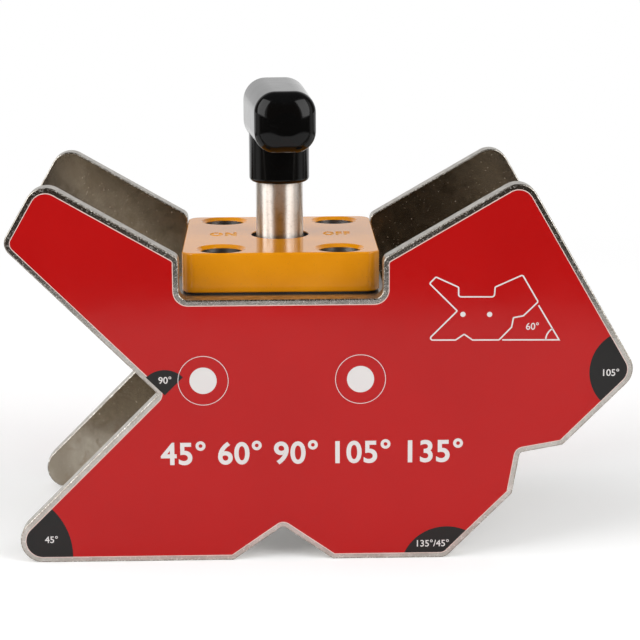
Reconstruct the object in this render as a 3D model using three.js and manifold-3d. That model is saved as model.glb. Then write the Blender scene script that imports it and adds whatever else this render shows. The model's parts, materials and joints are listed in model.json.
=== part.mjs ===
// A switchable multi-angle welding magnet: two steel pole plates cut to working angles, and between them a
// housing with a fixed and a turning disc magnet, closed by a yellow flange and switched by a handle.
//
// Millimetres. X runs along the plates, Y from the front plate to the back plate, Z up. Every piece is made
// about the stem's axis, X 0 and Y 0, with the plates' lower edges at Z 0. At the end the whole part moves
// along X, so that its origin is the middle of its bounding box, on the surface that it stands on.

import * as THREE from 'three';
import { mergeVertices } from 'three/addons/utils/BufferGeometryUtils.js';
import Module from 'manifold-3d';

const wasm = await Module();
wasm.setup();

// Clearances and cutters
const seatGap = 0.3; // round a piece that sits in a hole
const runningGap = 0.3; // between turning and fixed pieces
const hiddenShort = 0.5; // how far a hidden pin's end stays below the face that it ends at
const cutOverrun = 1; // how far a cutter runs past the face that it opens

// Steps of the curves
const cornerSteps = 2; // an arc gets twice as many
const largeSteps = 36;
const middleSteps = 24;
const smallSteps = 12;
const plateEdgeSteps = 1;
const flangeEdgeSteps = 2;
const armEndSteps = 3;

// Pole plates, seen from the front: heights above the lower edge, reaches from the stem's axis
const plateThickness = 6;
const plateEdgeBreak = 0.4;
const leftHornReach = 67.4;
const rightHornExtra = 1.3; // how much further the right horn reaches
const toeReach = 84.7;
const heelReach = 46.9;
const veeHeight = 49.6;
const footNotchDepth = 10;
const flankNotchDepth = 7.1;
const flankNotchShift = 1.5; // from the flank's middle, down towards the heel
const topNotchDepth = 12.1; // beside the flange's left side
const topNotchSideGap = 0.55; // beside the flange
const topNotchDrop = 0.3; // below the flange
const plateTopAngle = THREE.MathUtils.degToRad(30);
const plateSideAngle = THREE.MathUtils.degToRad(60);
const plateFlankAngle = THREE.MathUtils.degToRad(45);
const notchSideAngle = THREE.MathUtils.degToRad(35);

// Roundings of the plates' corners
const hornRadius = 6;
const toeRadius = 6.5;
const heelRadius = 4;
const noseRadius = 6;
const cheekRadius = 4;
const shoulderRadius = 2.5;
const topNotchRadius = 2.6;
const notchRadius = 1.2;

// Labels
const labelThickness = 0.3;
const labelMargin = 1.5;
const labelLeastRadius = 0.3;

// Housing: two pole blocks, brass spacers, the bore for the magnets
const housingLift = 14.4;
const housingWidth = 60;
const housingDepth = 68;
const boreWall = 4; // between the bore and the holes of the flange's screws
const spacerThickness = 5;
const coverThickness = 2.5;
const coverInset = 1;
const coverCornerRadius = 3;

// Magnets and the pieces that turn them
const magnetEdgeBreak = 0.8;
const fixedMagnetHeight = 23;
const rotorMagnetHeight = 21;
const washerThickness = 1.5;
const washerHoleRadius = 6;
const carrierThickness = 8;
const drivePinRadius = 2;
const drivePinReach = 14; // from the axis
const drivePinBite = 6; // into the magnet
const stopPinRadius = 2;
const stopPinReach = 15; // from the axis
const stopGrooveDepth = 4;
const stopTravel = THREE.MathUtils.degToRad(180);

// Stem
const stemRadius = 7;
const collarLip = 2; // how far the collar stands out from the stem
const collarHeight = 2.5;
const tangWidth = 9;
const stemNeckRadius = 3.5;

// Flange and what is in its middle hole
const flangeInsetX = 1.8; // from the housing's left and right sides
const flangeInsetY = 2.5; // from the plates
const flangeFloor = 3.3; // under the screws' heads
const flangeCornerRadius = 4;
const flangeEdgeRadius = 1;
const spigotLength = 6;
const gasketThickness = 0.5;
const gasketInset = 0.5;
const stemRecessDepth = 3;
const sealHeight = 3.5;
const sealWall = 0.9;
const bushingWall = 1.75;

// Flange screws and their counterbores
const capScrew = {
  headRadius: 5,
  headHeight: 6,
  headEdge: 0.6,
  shankRadius: 3,
  socketWidth: 5,
  socketDepth: 3,
};
const capScrewBite = 10; // into the pole
const capHeadRecess = 2.2; // head's top below the flange's top
const counterboreGap = 1; // round the head
const counterboreRimWidth = 1.1;
const counterboreRimDepth = 1.1;
const counterboreSideInset = 11.2; // its middle, from the flange's left or right side
const counterboreLand = 0.4; // between its rim and the flange's front or back side

// Countersunk screws and dowels of the plates, countersunk screws of the cover
const plateScrew = {
  headRadius: 6,
  headHeight: 3.3,
  shankRadius: 3,
  socketWidth: 4,
  socketDepth: 2.2,
};
const plateScrewLength = 17.5;
const plateScrewInset = 7.7; // from the housing's side
const plateScrewDrop = 22.9; // below the housing's top
const screwHeadDrop = 0.2; // head's top below the face
const dowelRadius = 2.5;
const dowelLength = 14;
const dowelInset = 8; // from the housing's side
const dowelRise = 15; // above the housing's lower face
const coverScrew = {
  headRadius: 4,
  headHeight: 1.9,
  shankRadius: 2,
  socketWidth: 2.5,
  socketDepth: 1.3,
};
const coverScrewLength = 9;
const coverScrewInset = 8; // from the housing's sides

// Handle: a sleeve on the stem and a square arm that tapers to its front tip
const handleTurn = THREE.MathUtils.degToRad(4.5); // how far it stands off the straight-ahead place
const stemShow = 16; // bare stem between flange and sleeve
const sleeveLength = 10.2; // below the arm
const sleeveWall = 1.6;
const sleeveEdge = 1.4;
const armFrontReach = 25.5;
const armBackReach = 16.5;
const armTailSize = 19.4;
const armTipSize = 17.6;
const armCornerRadius = 6.8;
const armEndRadius = 4.2;
const coreWidth = 11;
const coreHeight = 9;
const coreCover = 6; // plastic over the ends of the steel core
const handlePinRadius = 1.5;

// Radii and places that follow
const collarRadius = stemRadius + collarLip;
const stemRecessRadius = stemRadius + runningGap + sealWall + seatGap;
const sleeveRadius = stemRadius + seatGap + sleeveWall;
const flangeWidth = housingWidth - 2 * flangeInsetX;
const flangeDepth = housingDepth - 2 * flangeInsetY;
const counterboreRadius = capScrew.headRadius + counterboreGap;
const counterboreRimRadius = counterboreRadius + counterboreRimWidth;
const flangeHoleReachX = flangeWidth / 2 - counterboreSideInset;
const flangeHoleReachY = flangeDepth / 2 - counterboreLand - counterboreRimRadius;
const flangeHoleReach = Math.hypot(flangeHoleReachX, flangeHoleReachY);
const boreRadius = flangeHoleReach - capScrew.shankRadius - seatGap - boreWall;
const magnetRadius = boreRadius - seatGap;
const plateMiddle = (housingDepth + plateThickness) / 2;
const plateOuterFace = housingDepth / 2 + plateThickness;
const plateScrewReach = housingWidth / 2 - plateScrewInset;
const dowelReach = housingWidth / 2 - dowelInset;
const coverScrewReachX = housingWidth / 2 - coverScrewInset;
const coverScrewReachY = housingDepth / 2 - coverScrewInset;

// Heights that follow, from the housing's lower face up
const washerBottom = housingLift + fixedMagnetHeight;
const rotorMagnetBottom = washerBottom + washerThickness + runningGap;
const carrierBottom = rotorMagnetBottom + rotorMagnetHeight;
const carrierTop = carrierBottom + carrierThickness;
const collarTop = carrierTop + collarHeight;
const spigotBottom = collarTop + runningGap;
const flangeBottom = spigotBottom + spigotLength;
const flangeThickness = flangeFloor + capScrew.headHeight + capHeadRecess;
const flangeTop = flangeBottom + flangeThickness;
const housingTop = flangeBottom - gasketThickness;
const housingHeight = housingTop - housingLift;
const plateScrewHeight = housingTop - plateScrewDrop;
const dowelHeight = housingLift + dowelRise;
const bushingTop = flangeTop - stemRecessDepth - sealHeight;
const sleeveBottom = flangeTop + stemShow;
const armTop = sleeveBottom + sleeveLength + armTailSize;
const coreMiddle = armTop - armTailSize / 2;
const coreBottom = coreMiddle - coreHeight / 2;
const coreTop = coreMiddle + coreHeight / 2;

// Which way each side lies along Y, and each hand along X, and the four corners of a rectangle
const sides = { front: -1, back: 1 };
const hands = { left: -1, right: 1 };
const quarters = [[-1, -1], [1, -1], [1, 1], [-1, 1]];

const materials = {
  nickel: new THREE.MeshStandardMaterial({ color: 0xb9b2a8, roughness: 0.3, metalness: 1 }),
  label: new THREE.MeshStandardMaterial({ color: 0xb81c1c, roughness: 0.35, metalness: 0 }),
  poleSteel: new THREE.MeshStandardMaterial({ color: 0x8a8a88, roughness: 0.45, metalness: 1 }),
  brass: new THREE.MeshStandardMaterial({ color: 0xc9a24b, roughness: 0.35, metalness: 1 }),
  magnet: new THREE.MeshStandardMaterial({ color: 0x9c9c9e, roughness: 0.3, metalness: 1 }),
  satinSteel: new THREE.MeshStandardMaterial({ color: 0xc2bfba, roughness: 0.28, metalness: 1 }),
  bronze: new THREE.MeshStandardMaterial({ color: 0xa8783c, roughness: 0.4, metalness: 1 }),
  rubber: new THREE.MeshStandardMaterial({ color: 0x151515, roughness: 0.8, metalness: 0 }),
  yellowPaint: new THREE.MeshStandardMaterial({ color: 0xe08f12, roughness: 0.25, metalness: 0 }),
  screwSteel: new THREE.MeshStandardMaterial({ color: 0x6f6f72, roughness: 0.35, metalness: 1 }),
  blackPlastic: new THREE.MeshStandardMaterial({ color: 0x0d0d0e, roughness: 0.15, metalness: 0 }),
};

// Geometry helpers

// The same surface with shared vertices, no flat triangles, and its faces pointing out.
function closed(geometry) {
  const bare = geometry.index ? geometry.toNonIndexed() : geometry.clone();
  bare.deleteAttribute('normal');
  bare.deleteAttribute('uv');
  const merged = mergeVertices(bare);
  const place = merged.getAttribute('position');
  const kept = [];
  const a = new THREE.Vector3();
  const b = new THREE.Vector3();
  const c = new THREE.Vector3();
  let volume = 0;
  for (let i = 0; i < merged.index.count; i += 3) {
    const corners = [0, 1, 2].map((step) => merged.index.getX(i + step));
    if (new Set(corners).size < 3) continue;
    kept.push(corners);
    a.fromBufferAttribute(place, corners[0]);
    b.fromBufferAttribute(place, corners[1]);
    c.fromBufferAttribute(place, corners[2]);
    volume += a.dot(b.cross(c));
  }
  if (volume < 0) kept.forEach((corners) => corners.reverse());
  merged.setIndex(kept.flat());
  return merged;
}

function toSolid(geometry) {
  const mesh = closed(geometry);
  const vertProperties = new Float32Array(mesh.getAttribute('position').array);
  const triVerts = new Uint32Array(mesh.index.array);
  return new wasm.Manifold(new wasm.Mesh({ numProp: 3, vertProperties, triVerts }));
}

function toGeometry(solid) {
  const { vertProperties, triVerts } = solid.getMesh();
  const geometry = new THREE.BufferGeometry();
  geometry.setAttribute('position', new THREE.BufferAttribute(new Float32Array(vertProperties), 3));
  geometry.setIndex(new THREE.BufferAttribute(new Uint32Array(triVerts), 1));
  return geometry;
}

function cut(geometry, cutters) {
  const whole = toSolid(geometry);
  return toGeometry(cutters.reduce((left, cutter) => left.subtract(toSolid(cutter)), whole));
}

function join(geometry, additions) {
  const whole = toSolid(geometry);
  return toGeometry(additions.reduce((sum, addition) => sum.add(toSolid(addition)), whole));
}

// A body of revolution about Z through a closed profile of [radius, height] points.
function turned(profile, steps) {
  const points = profile.map(([radius, height]) => new THREE.Vector2(radius, height));
  return new THREE.LatheGeometry(points, steps).rotateX(Math.PI / 2);
}

function cylinder(radius, bottom, top, steps) {
  return turned([[0, bottom], [radius, bottom], [radius, top], [0, top]], steps);
}

// A cylinder with both edges broken.
function disc(radius, bottom, top, edge, steps) {
  const inner = radius - edge;
  const profile = [
    [0, bottom], [inner, bottom], [radius, bottom + edge], [radius, top - edge], [inner, top], [0, top],
  ];
  return turned(profile, steps);
}

function ring(innerRadius, outerRadius, bottom, top, steps) {
  const profile = [
    [innerRadius, bottom], [outerRadius, bottom], [outerRadius, top], [innerRadius, top],
    [innerRadius, bottom],
  ];
  return turned(profile, steps);
}

function slab(width, depth, bottom, top) {
  const height = top - bottom;
  return new THREE.BoxGeometry(width, depth, height).translate(0, 0, bottom + height / 2);
}

// A corner's two edge directions, half its angle and the length of its shorter edge.
function edgesAt(corners, index) {
  const { at } = corners[index];
  const before = corners[(index + corners.length - 1) % corners.length].at.clone().sub(at);
  const after = corners[(index + 1) % corners.length].at.clone().sub(at);
  const shorter = Math.min(before.length(), after.length());
  before.normalize();
  after.normalize();
  return { before, after, halfAngle: Math.acos(before.dot(after)) / 2, shorter };
}

// A shape through corners of { at, radius }, counter-clockwise, with each corner rounded by an arc that
// takes no more than half of its shorter edge.
function roundedShape(corners) {
  const shape = new THREE.Shape();
  corners.forEach(({ at, radius }, index) => {
    const { before, after, halfAngle, shorter } = edgesAt(corners, index);
    const reach = Math.min(radius / Math.tan(halfAngle), shorter / 2);
    const fitted = reach * Math.tan(halfAngle);
    const middle = before.clone().add(after).normalize();
    const centre = at.clone().addScaledVector(middle, fitted / Math.sin(halfAngle));
    const start = at.clone().addScaledVector(before, reach).sub(centre).angle();
    const end = at.clone().addScaledVector(after, reach).sub(centre).angle();
    shape.absarc(centre.x, centre.y, fitted, start, end, before.cross(after) > 0);
  });
  return shape;
}

// The same corners after every edge has moved in by the margin.
function insetCorners(corners, margin, leastRadius) {
  return corners.map(({ at, radius }, index) => {
    const { before, after, halfAngle } = edgesAt(corners, index);
    const inward = before.cross(after) > 0 ? -1 : 1;
    const middle = before.clone().add(after).normalize();
    return {
      at: at.clone().addScaledVector(middle, (inward * margin) / Math.sin(halfAngle)),
      radius: Math.max(radius - inward * margin, leastRadius),
    };
  });
}

function rectangleCorners(width, depth, radius) {
  return quarters.map(([x, y]) => ({
    at: new THREE.Vector2((x * width) / 2, (y * depth) / 2),
    radius,
  }));
}

function extruded(shape, depth) {
  return new THREE.ExtrudeGeometry(shape, { depth, bevelEnabled: false, curveSegments: cornerSteps });
}

// An extrusion from z 0 to the depth whose edges at both ends are broken or rounded within the shape.
function extrudedWithEdges(shape, depth, edge, edgeSteps) {
  return new THREE.ExtrudeGeometry(shape, {
    depth: depth - 2 * edge,
    bevelEnabled: true,
    bevelThickness: edge,
    bevelSize: edge,
    bevelOffset: -edge,
    bevelSegments: edgeSteps,
    curveSegments: cornerSteps,
  }).translate(0, 0, edge);
}

// Turns a shape's extrusion upright: the shape's Y becomes Z, and the thickness lies evenly about Y 0.
function upright(geometry, thickness) {
  return geometry.translate(0, 0, -thickness / 2).rotateX(Math.PI / 2);
}

// Turns a piece made along Z, head up, so that its head points out of the front or the back plate.
function headOut(geometry, side) {
  return geometry.rotateX((-side * Math.PI) / 2);
}

function add(group, name, geometry, material, x = 0, y = 0, z = 0) {
  const mesh = new THREE.Mesh(closed(geometry), material);
  mesh.name = name;
  mesh.position.set(x, y, z);
  group.add(mesh);
  return mesh;
}

// Fasteners, made with the middle of the head's top at the origin and the tip down

function hexSocket({ socketWidth, socketDepth }) {
  const radius = socketWidth / 2 / Math.cos(Math.PI / 6);
  return cylinder(radius, -socketDepth, cutOverrun, 6);
}

function capScrewGeometry(screw, shankLength) {
  const { headRadius, headHeight, headEdge, shankRadius } = screw;
  const tip = -headHeight - shankLength;
  const profile = [
    [0, 0], [headRadius - headEdge, 0], [headRadius, -headEdge], [headRadius, -headHeight],
    [shankRadius, -headHeight], [shankRadius, tip], [0, tip],
  ];
  return cut(turned(profile, smallSteps), [hexSocket(screw)]);
}

function sunkScrewGeometry(screw, length) {
  const { headRadius, headHeight, shankRadius } = screw;
  const profile = [
    [0, 0], [headRadius, 0], [shankRadius, -headHeight], [shankRadius, -length], [0, -length],
  ];
  return cut(turned(profile, smallSteps), [hexSocket(screw)]);
}

// The countersunk hole round such a screw, whose mouth lies one head drop above the head's top.
function sunkScrewHole({ headRadius, headHeight, shankRadius }, length) {
  const mouth = screwHeadDrop + cutOverrun;
  const mouthRadius = headRadius + seatGap;
  const holeRadius = shankRadius + seatGap;
  const profile = [
    [0, mouth], [mouthRadius, mouth], [mouthRadius, 0],
    [holeRadius, -headHeight], [holeRadius, -length - seatGap], [0, -length - seatGap],
  ];
  return turned(profile, smallSteps);
}

// Plate outline

// Where the line through a at angleA crosses the line through b at angleB.
function meet(a, angleA, b, angleB) {
  const alongA = new THREE.Vector2(Math.cos(angleA), Math.sin(angleA));
  const alongB = new THREE.Vector2(Math.cos(angleB), Math.sin(angleB));
  const reach = b.clone().sub(a).cross(alongB) / alongA.cross(alongB);
  return a.clone().addScaledVector(alongA, reach);
}

// The three corners of a V notch in an edge that runs at the given angle, with the plate on its left.
function notch(middle, edgeAngle, depth) {
  const along = new THREE.Vector2(Math.cos(edgeAngle), Math.sin(edgeAngle));
  const inward = new THREE.Vector2(-along.y, along.x);
  const halfWidth = depth / Math.tan(notchSideAngle);
  return [
    { at: middle.clone().addScaledVector(along, -halfWidth), radius: notchRadius },
    { at: middle.clone().addScaledVector(inward, depth), radius: notchRadius },
    { at: middle.clone().addScaledVector(along, halfWidth), radius: notchRadius },
  ];
}

function plateCorners() {
  const toe = new THREE.Vector2(-toeReach, 0);
  const heel = new THREE.Vector2(heelReach, 0);
  const notchFloor = flangeBottom - topNotchDrop;
  const notchReach = flangeWidth / 2 + topNotchSideGap;
  const notchLeft = new THREE.Vector2(-notchReach, notchFloor);
  const notchRight = new THREE.Vector2(notchReach, notchFloor);
  const leftShoulder = new THREE.Vector2(-notchReach, notchFloor + topNotchDepth);
  const hornHeight = leftShoulder.y + (leftHornReach - notchReach) * Math.tan(plateTopAngle);
  const leftHorn = new THREE.Vector2(-leftHornReach, hornHeight);
  const rightHorn = new THREE.Vector2(leftHornReach + rightHornExtra, hornHeight);
  const nose = meet(heel, plateFlankAngle, rightHorn, Math.PI - plateSideAngle);
  const rightShoulder = meet(rightHorn, plateTopAngle, notchRight, Math.PI / 2);
  const vee = meet(toe, plateFlankAngle, new THREE.Vector2(0, veeHeight), 0);
  const cheek = meet(vee, Math.PI - plateFlankAngle, leftHorn, plateSideAngle);
  const downFlank = heel.clone().sub(nose).normalize();
  const flankNotchMiddle = heel.clone().lerp(nose, 1 / 2).addScaledVector(downFlank, flankNotchShift);
  return [
    { at: toe, radius: toeRadius },
    ...notch(new THREE.Vector2(0, 0), 0, footNotchDepth),
    { at: heel, radius: heelRadius },
    ...notch(flankNotchMiddle, plateFlankAngle, flankNotchDepth),
    { at: nose, radius: noseRadius },
    { at: rightHorn, radius: hornRadius },
    { at: rightShoulder, radius: shoulderRadius },
    { at: notchRight, radius: topNotchRadius },
    { at: notchLeft, radius: topNotchRadius },
    { at: leftShoulder, radius: shoulderRadius },
    { at: leftHorn, radius: hornRadius },
    { at: cheek, radius: cheekRadius },
    { at: vee, radius: notchRadius },
  ];
}

// Fixed pieces

function addPlateAndLabel(group, sideName) {
  const side = sides[sideName];
  const outline = plateCorners();
  const headPlace = plateThickness / 2 - screwHeadDrop;
  const cutters = Object.values(hands).flatMap((hand) => [
    headOut(sunkScrewHole(plateScrew, plateScrewLength), side)
      .translate(hand * plateScrewReach, side * headPlace, plateScrewHeight),
    headOut(cylinder(dowelRadius + seatGap, -plateThickness, plateThickness, smallSteps), side)
      .translate(hand * dowelReach, 0, dowelHeight),
  ]);
  const shape = roundedShape(outline);
  const blank = extrudedWithEdges(shape, plateThickness, plateEdgeBreak, plateEdgeSteps);
  const plate = cut(upright(blank, plateThickness), cutters);
  add(group, `${sideName}_plate`, plate, materials.nickel, 0, side * plateMiddle);

  const labelOutline = insetCorners(outline, labelMargin, labelLeastRadius);
  const sheet = extruded(roundedShape(labelOutline), labelThickness);
  const labelPlace = side * (plateOuterFace + labelThickness / 2);
  add(group, `${sideName}_label`, upright(sheet, labelThickness), materials.label, 0, labelPlace);
}

function addPlateFasteners(group, sideName) {
  const side = sides[sideName];
  for (const [handName, hand] of Object.entries(hands)) {
    const screw = headOut(sunkScrewGeometry(plateScrew, plateScrewLength), side);
    const screwX = hand * plateScrewReach;
    const screwY = side * (plateOuterFace - screwHeadDrop);
    const screwName = `plate_screw_${sideName}_${handName}`;
    add(group, screwName, screw, materials.screwSteel, screwX, screwY, plateScrewHeight);
    const dowel = headOut(cylinder(dowelRadius, -dowelLength, 0, smallSteps), side);
    const dowelY = side * (plateOuterFace - hiddenShort);
    const dowelName = `dowel_${sideName}_${handName}`;
    add(group, dowelName, dowel, materials.satinSteel, hand * dowelReach, dowelY, dowelHeight);
  }
}

// One pole block, made for the back; half a turn about the axis gives the front one.
function poleGeometry() {
  const halfWidth = housingWidth / 2;
  const spacerFace = spacerThickness / 2;
  const start = Math.asin(spacerFace / boreRadius);
  const shape = new THREE.Shape();
  shape.moveTo(halfWidth, spacerFace);
  shape.lineTo(halfWidth, housingDepth / 2);
  shape.lineTo(-halfWidth, housingDepth / 2);
  shape.lineTo(-halfWidth, spacerFace);
  shape.absarc(0, 0, boreRadius, Math.PI - start, start, true);
  const options = { depth: housingHeight, bevelEnabled: false, curveSegments: largeSteps / 4 };
  const block = new THREE.ExtrudeGeometry(shape, options).translate(0, 0, housingLift);
  const capHoleBottom = housingTop - capScrewBite - seatGap;
  const coverHoleTop = coverScrewTip() + seatGap;
  const cutters = Object.values(hands).flatMap((hand) => [
    cylinder(capScrew.shankRadius + seatGap, capHoleBottom, housingTop + cutOverrun, smallSteps)
      .translate(hand * flangeHoleReachX, flangeHoleReachY, 0),
    headOut(cylinder(plateScrew.shankRadius + seatGap, -plateScrewLength - seatGap, 0, smallSteps), 1)
      .translate(hand * plateScrewReach, plateOuterFace - screwHeadDrop, plateScrewHeight),
    headOut(cylinder(dowelRadius + seatGap, -dowelLength - seatGap, 0, smallSteps), 1)
      .translate(hand * dowelReach, plateOuterFace - hiddenShort, dowelHeight),
    cylinder(coverScrew.shankRadius + seatGap, housingLift - cutOverrun, coverHoleTop, smallSteps)
      .translate(hand * coverScrewReachX, coverScrewReachY, 0),
  ]);
  return cut(block, cutters);
}

function coverScrewTip() {
  return housingLift - coverThickness + screwHeadDrop + coverScrewLength;
}

function addHousing(group) {
  const pole = poleGeometry();
  add(group, 'back_pole', pole, materials.poleSteel);
  add(group, 'front_pole', pole, materials.poleSteel).rotation.z = Math.PI;
  const spacerWidth = housingWidth / 2 - boreRadius;
  for (const [handName, hand] of Object.entries(hands)) {
    const spacer = slab(spacerWidth, spacerThickness, housingLift, housingTop);
    add(group, `${handName}_spacer`, spacer, materials.brass, hand * (boreRadius + spacerWidth / 2));
  }
}

function addCover(group) {
  const coverWidth = housingWidth - 2 * coverInset;
  const coverDepth = housingDepth - 2 * coverInset;
  const outline = rectangleCorners(coverWidth, coverDepth, coverCornerRadius);
  const coverBottom = housingLift - coverThickness;
  const headPlace = coverBottom + screwHeadDrop;
  const places = quarters.map(([x, y]) => [x * coverScrewReachX, y * coverScrewReachY]);
  const holes = places.map(([x, y]) => (
    sunkScrewHole(coverScrew, coverScrewLength).rotateX(Math.PI).translate(x, y, headPlace)
  ));
  const cover = extruded(roundedShape(outline), coverThickness).translate(0, 0, coverBottom);
  add(group, 'bottom_cover', cut(cover, holes), materials.satinSteel);
  places.forEach(([x, y], index) => {
    const screw = sunkScrewGeometry(coverScrew, coverScrewLength).rotateX(Math.PI);
    add(group, `cover_screw_${index + 1}`, screw, materials.screwSteel, x, y, headPlace);
  });
}

function addFixedMagnet(group) {
  const magnet = disc(magnetRadius, 0, fixedMagnetHeight, magnetEdgeBreak, largeSteps);
  add(group, 'fixed_magnet', magnet, materials.magnet, 0, 0, housingLift);
  const washer = ring(washerHoleRadius, magnetRadius, 0, washerThickness, largeSteps);
  add(group, 'thrust_washer', washer, materials.brass, 0, 0, washerBottom);
}

// The half-round groove under the spigot, in front of the stem, where the stop pin runs.
function stopGroove() {
  const halfWidth = stopPinRadius + runningGap;
  const end = Math.asin(halfWidth / stopPinReach) + stopTravel / 2;
  const middle = -Math.PI / 2;
  const shape = new THREE.Shape();
  shape.absarc(0, 0, stopPinReach + halfWidth, middle - end, middle + end, false);
  shape.absarc(0, 0, stopPinReach - halfWidth, middle + end, middle - end, true);
  const depth = stopGrooveDepth + cutOverrun;
  const options = { depth, bevelEnabled: false, curveSegments: largeSteps / 4 };
  return new THREE.ExtrudeGeometry(shape, options).translate(0, 0, spigotBottom - cutOverrun);
}

function flangeHolePlaces() {
  return quarters.map(([x, y]) => [x * flangeHoleReachX, y * flangeHoleReachY]);
}

function counterboreCutter() {
  const mouth = flangeTop + cutOverrun;
  const floor = flangeBottom + flangeFloor;
  const below = flangeBottom - cutOverrun;
  const holeRadius = capScrew.shankRadius + seatGap;
  const profile = [
    [0, mouth], [counterboreRimRadius, mouth], [counterboreRimRadius, flangeTop],
    [counterboreRadius, flangeTop - counterboreRimDepth], [counterboreRadius, floor],
    [holeRadius, floor], [holeRadius, below], [0, below],
  ];
  return turned(profile, middleSteps);
}

function addFlange(group) {
  const outline = roundedShape(rectangleCorners(flangeWidth, flangeDepth, flangeCornerRadius));
  const plate = extrudedWithEdges(outline, flangeThickness, flangeEdgeRadius, flangeEdgeSteps)
    .translate(0, 0, flangeBottom);
  const spigotRadius = boreRadius - seatGap;
  const spigot = cylinder(spigotRadius, spigotBottom, flangeBottom + flangeThickness / 2, largeSteps);
  const bushingHole = stemRadius + runningGap + bushingWall + seatGap;
  const holeBottom = spigotBottom - cutOverrun;
  const holeTop = flangeTop + cutOverrun;
  const stemHole = [
    [0, holeBottom], [bushingHole, holeBottom], [bushingHole, bushingTop],
    [stemRecessRadius, bushingTop], [stemRecessRadius, holeTop], [0, holeTop],
  ];
  const counterbores = flangeHolePlaces().map(([x, y]) => counterboreCutter().translate(x, y, 0));
  const cutters = [turned(stemHole, largeSteps), stopGroove(), ...counterbores];
  add(group, 'flange', cut(join(plate, [spigot]), cutters), materials.yellowPaint);
}

function addFlangePieces(group) {
  const inner = stemRadius + runningGap;
  const bushing = ring(inner, inner + bushingWall, spigotBottom, bushingTop, largeSteps);
  add(group, 'stem_bushing', bushing, materials.bronze);
  const seal = ring(inner, inner + sealWall, bushingTop, bushingTop + sealHeight, largeSteps);
  add(group, 'stem_seal', seal, materials.rubber);

  const gasketWidth = flangeWidth - 2 * gasketInset;
  const gasketDepth = flangeDepth - 2 * gasketInset;
  const outline = roundedShape(rectangleCorners(gasketWidth, gasketDepth, flangeCornerRadius));
  const below = housingTop - cutOverrun;
  const above = flangeBottom + cutOverrun;
  const holes = flangeHolePlaces().map(([x, y]) => (
    cylinder(capScrew.shankRadius + seatGap, below, above, smallSteps).translate(x, y, 0)
  ));
  const bore = cylinder(boreRadius, below, above, largeSteps);
  const gasket = extruded(outline, gasketThickness).translate(0, 0, housingTop);
  add(group, 'flange_gasket', cut(gasket, [bore, ...holes]), materials.rubber);

  const shankLength = flangeFloor + gasketThickness + capScrewBite;
  const headTop = flangeTop - capHeadRecess;
  flangeHolePlaces().forEach(([x, y], index) => {
    const screw = capScrewGeometry(capScrew, shankLength);
    add(group, `flange_screw_${index + 1}`, screw, materials.screwSteel, x, y, headTop);
  });
}

// Turning pieces, with the handle straight ahead, towards the front

function addRotor(group) {
  const pinHole = drivePinRadius + seatGap;
  const magnetHoles = Object.values(hands).map((hand) => (
    cylinder(pinHole, carrierBottom - drivePinBite - seatGap, carrierBottom + cutOverrun, smallSteps)
      .translate(hand * drivePinReach, 0, 0)
  ));
  const magnet = disc(magnetRadius, rotorMagnetBottom, carrierBottom, magnetEdgeBreak, largeSteps);
  add(group, 'rotor_magnet', cut(magnet, magnetHoles), materials.magnet);

  const below = carrierBottom - cutOverrun;
  const above = carrierTop + cutOverrun;
  const carrierHoles = [
    slab(tangWidth + 2 * seatGap, tangWidth + 2 * seatGap, below, above),
    cylinder(stopPinRadius + seatGap, below, above, smallSteps).translate(0, -stopPinReach, 0),
    ...Object.values(hands).map((hand) => (
      cylinder(pinHole, below, above, smallSteps).translate(hand * drivePinReach, 0, 0)
    )),
  ];
  const carrier = disc(magnetRadius, carrierBottom, carrierTop, magnetEdgeBreak, largeSteps);
  add(group, 'rotor_carrier', cut(carrier, carrierHoles), materials.poleSteel);

  const drivePinTop = carrierTop - hiddenShort;
  for (const [handName, hand] of Object.entries(hands)) {
    const pin = cylinder(drivePinRadius, carrierBottom - drivePinBite, drivePinTop, smallSteps);
    add(group, `drive_pin_${handName}`, pin, materials.satinSteel, hand * drivePinReach);
  }
  const stopPinTop = spigotBottom + stopGrooveDepth - hiddenShort;
  const stopPin = cylinder(stopPinRadius, carrierBottom, stopPinTop, smallSteps);
  add(group, 'stop_pin', stopPin, materials.satinSteel, 0, -stopPinReach);
}

// A pin along X through the core and the stem's neck.
function crossPin(radius, length) {
  return cylinder(radius, -length / 2, length / 2, smallSteps).rotateY(Math.PI / 2);
}

function addStem(group) {
  const profile = [
    [0, carrierTop], [collarRadius, carrierTop], [collarRadius, collarTop], [stemRadius, collarTop],
    [stemRadius, coreBottom], [stemNeckRadius, coreBottom], [stemNeckRadius, coreTop - hiddenShort],
    [0, coreTop - hiddenShort],
  ];
  const tangTop = (carrierTop + collarTop) / 2;
  const tang = slab(tangWidth, tangWidth, carrierBottom + hiddenShort, tangTop);
  const pinHole = crossPin(handlePinRadius + seatGap, coreWidth).translate(0, 0, coreMiddle);
  const stem = cut(join(turned(profile, largeSteps), [tang]), [pinHole]);
  add(group, 'stem', stem, materials.satinSteel);
}

function addHandleCore(group) {
  const frontEnd = armFrontReach - coreCover;
  const backEnd = armBackReach - coreCover;
  const bar = slab(coreWidth, frontEnd + backEnd, coreBottom, coreTop)
    .translate(0, (backEnd - frontEnd) / 2, 0);
  const below = coreBottom - cutOverrun;
  const neckHole = cylinder(stemNeckRadius + seatGap, below, coreTop + cutOverrun, smallSteps);
  const pinHole = crossPin(handlePinRadius + seatGap, coreWidth + 2 * cutOverrun)
    .translate(0, 0, coreMiddle);
  add(group, 'handle_core', cut(bar, [neckHole, pinHole]), materials.poleSteel);
  const pin = crossPin(handlePinRadius, coreWidth);
  add(group, 'handle_pin', pin, materials.satinSteel, 0, 0, coreMiddle);
}

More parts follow.
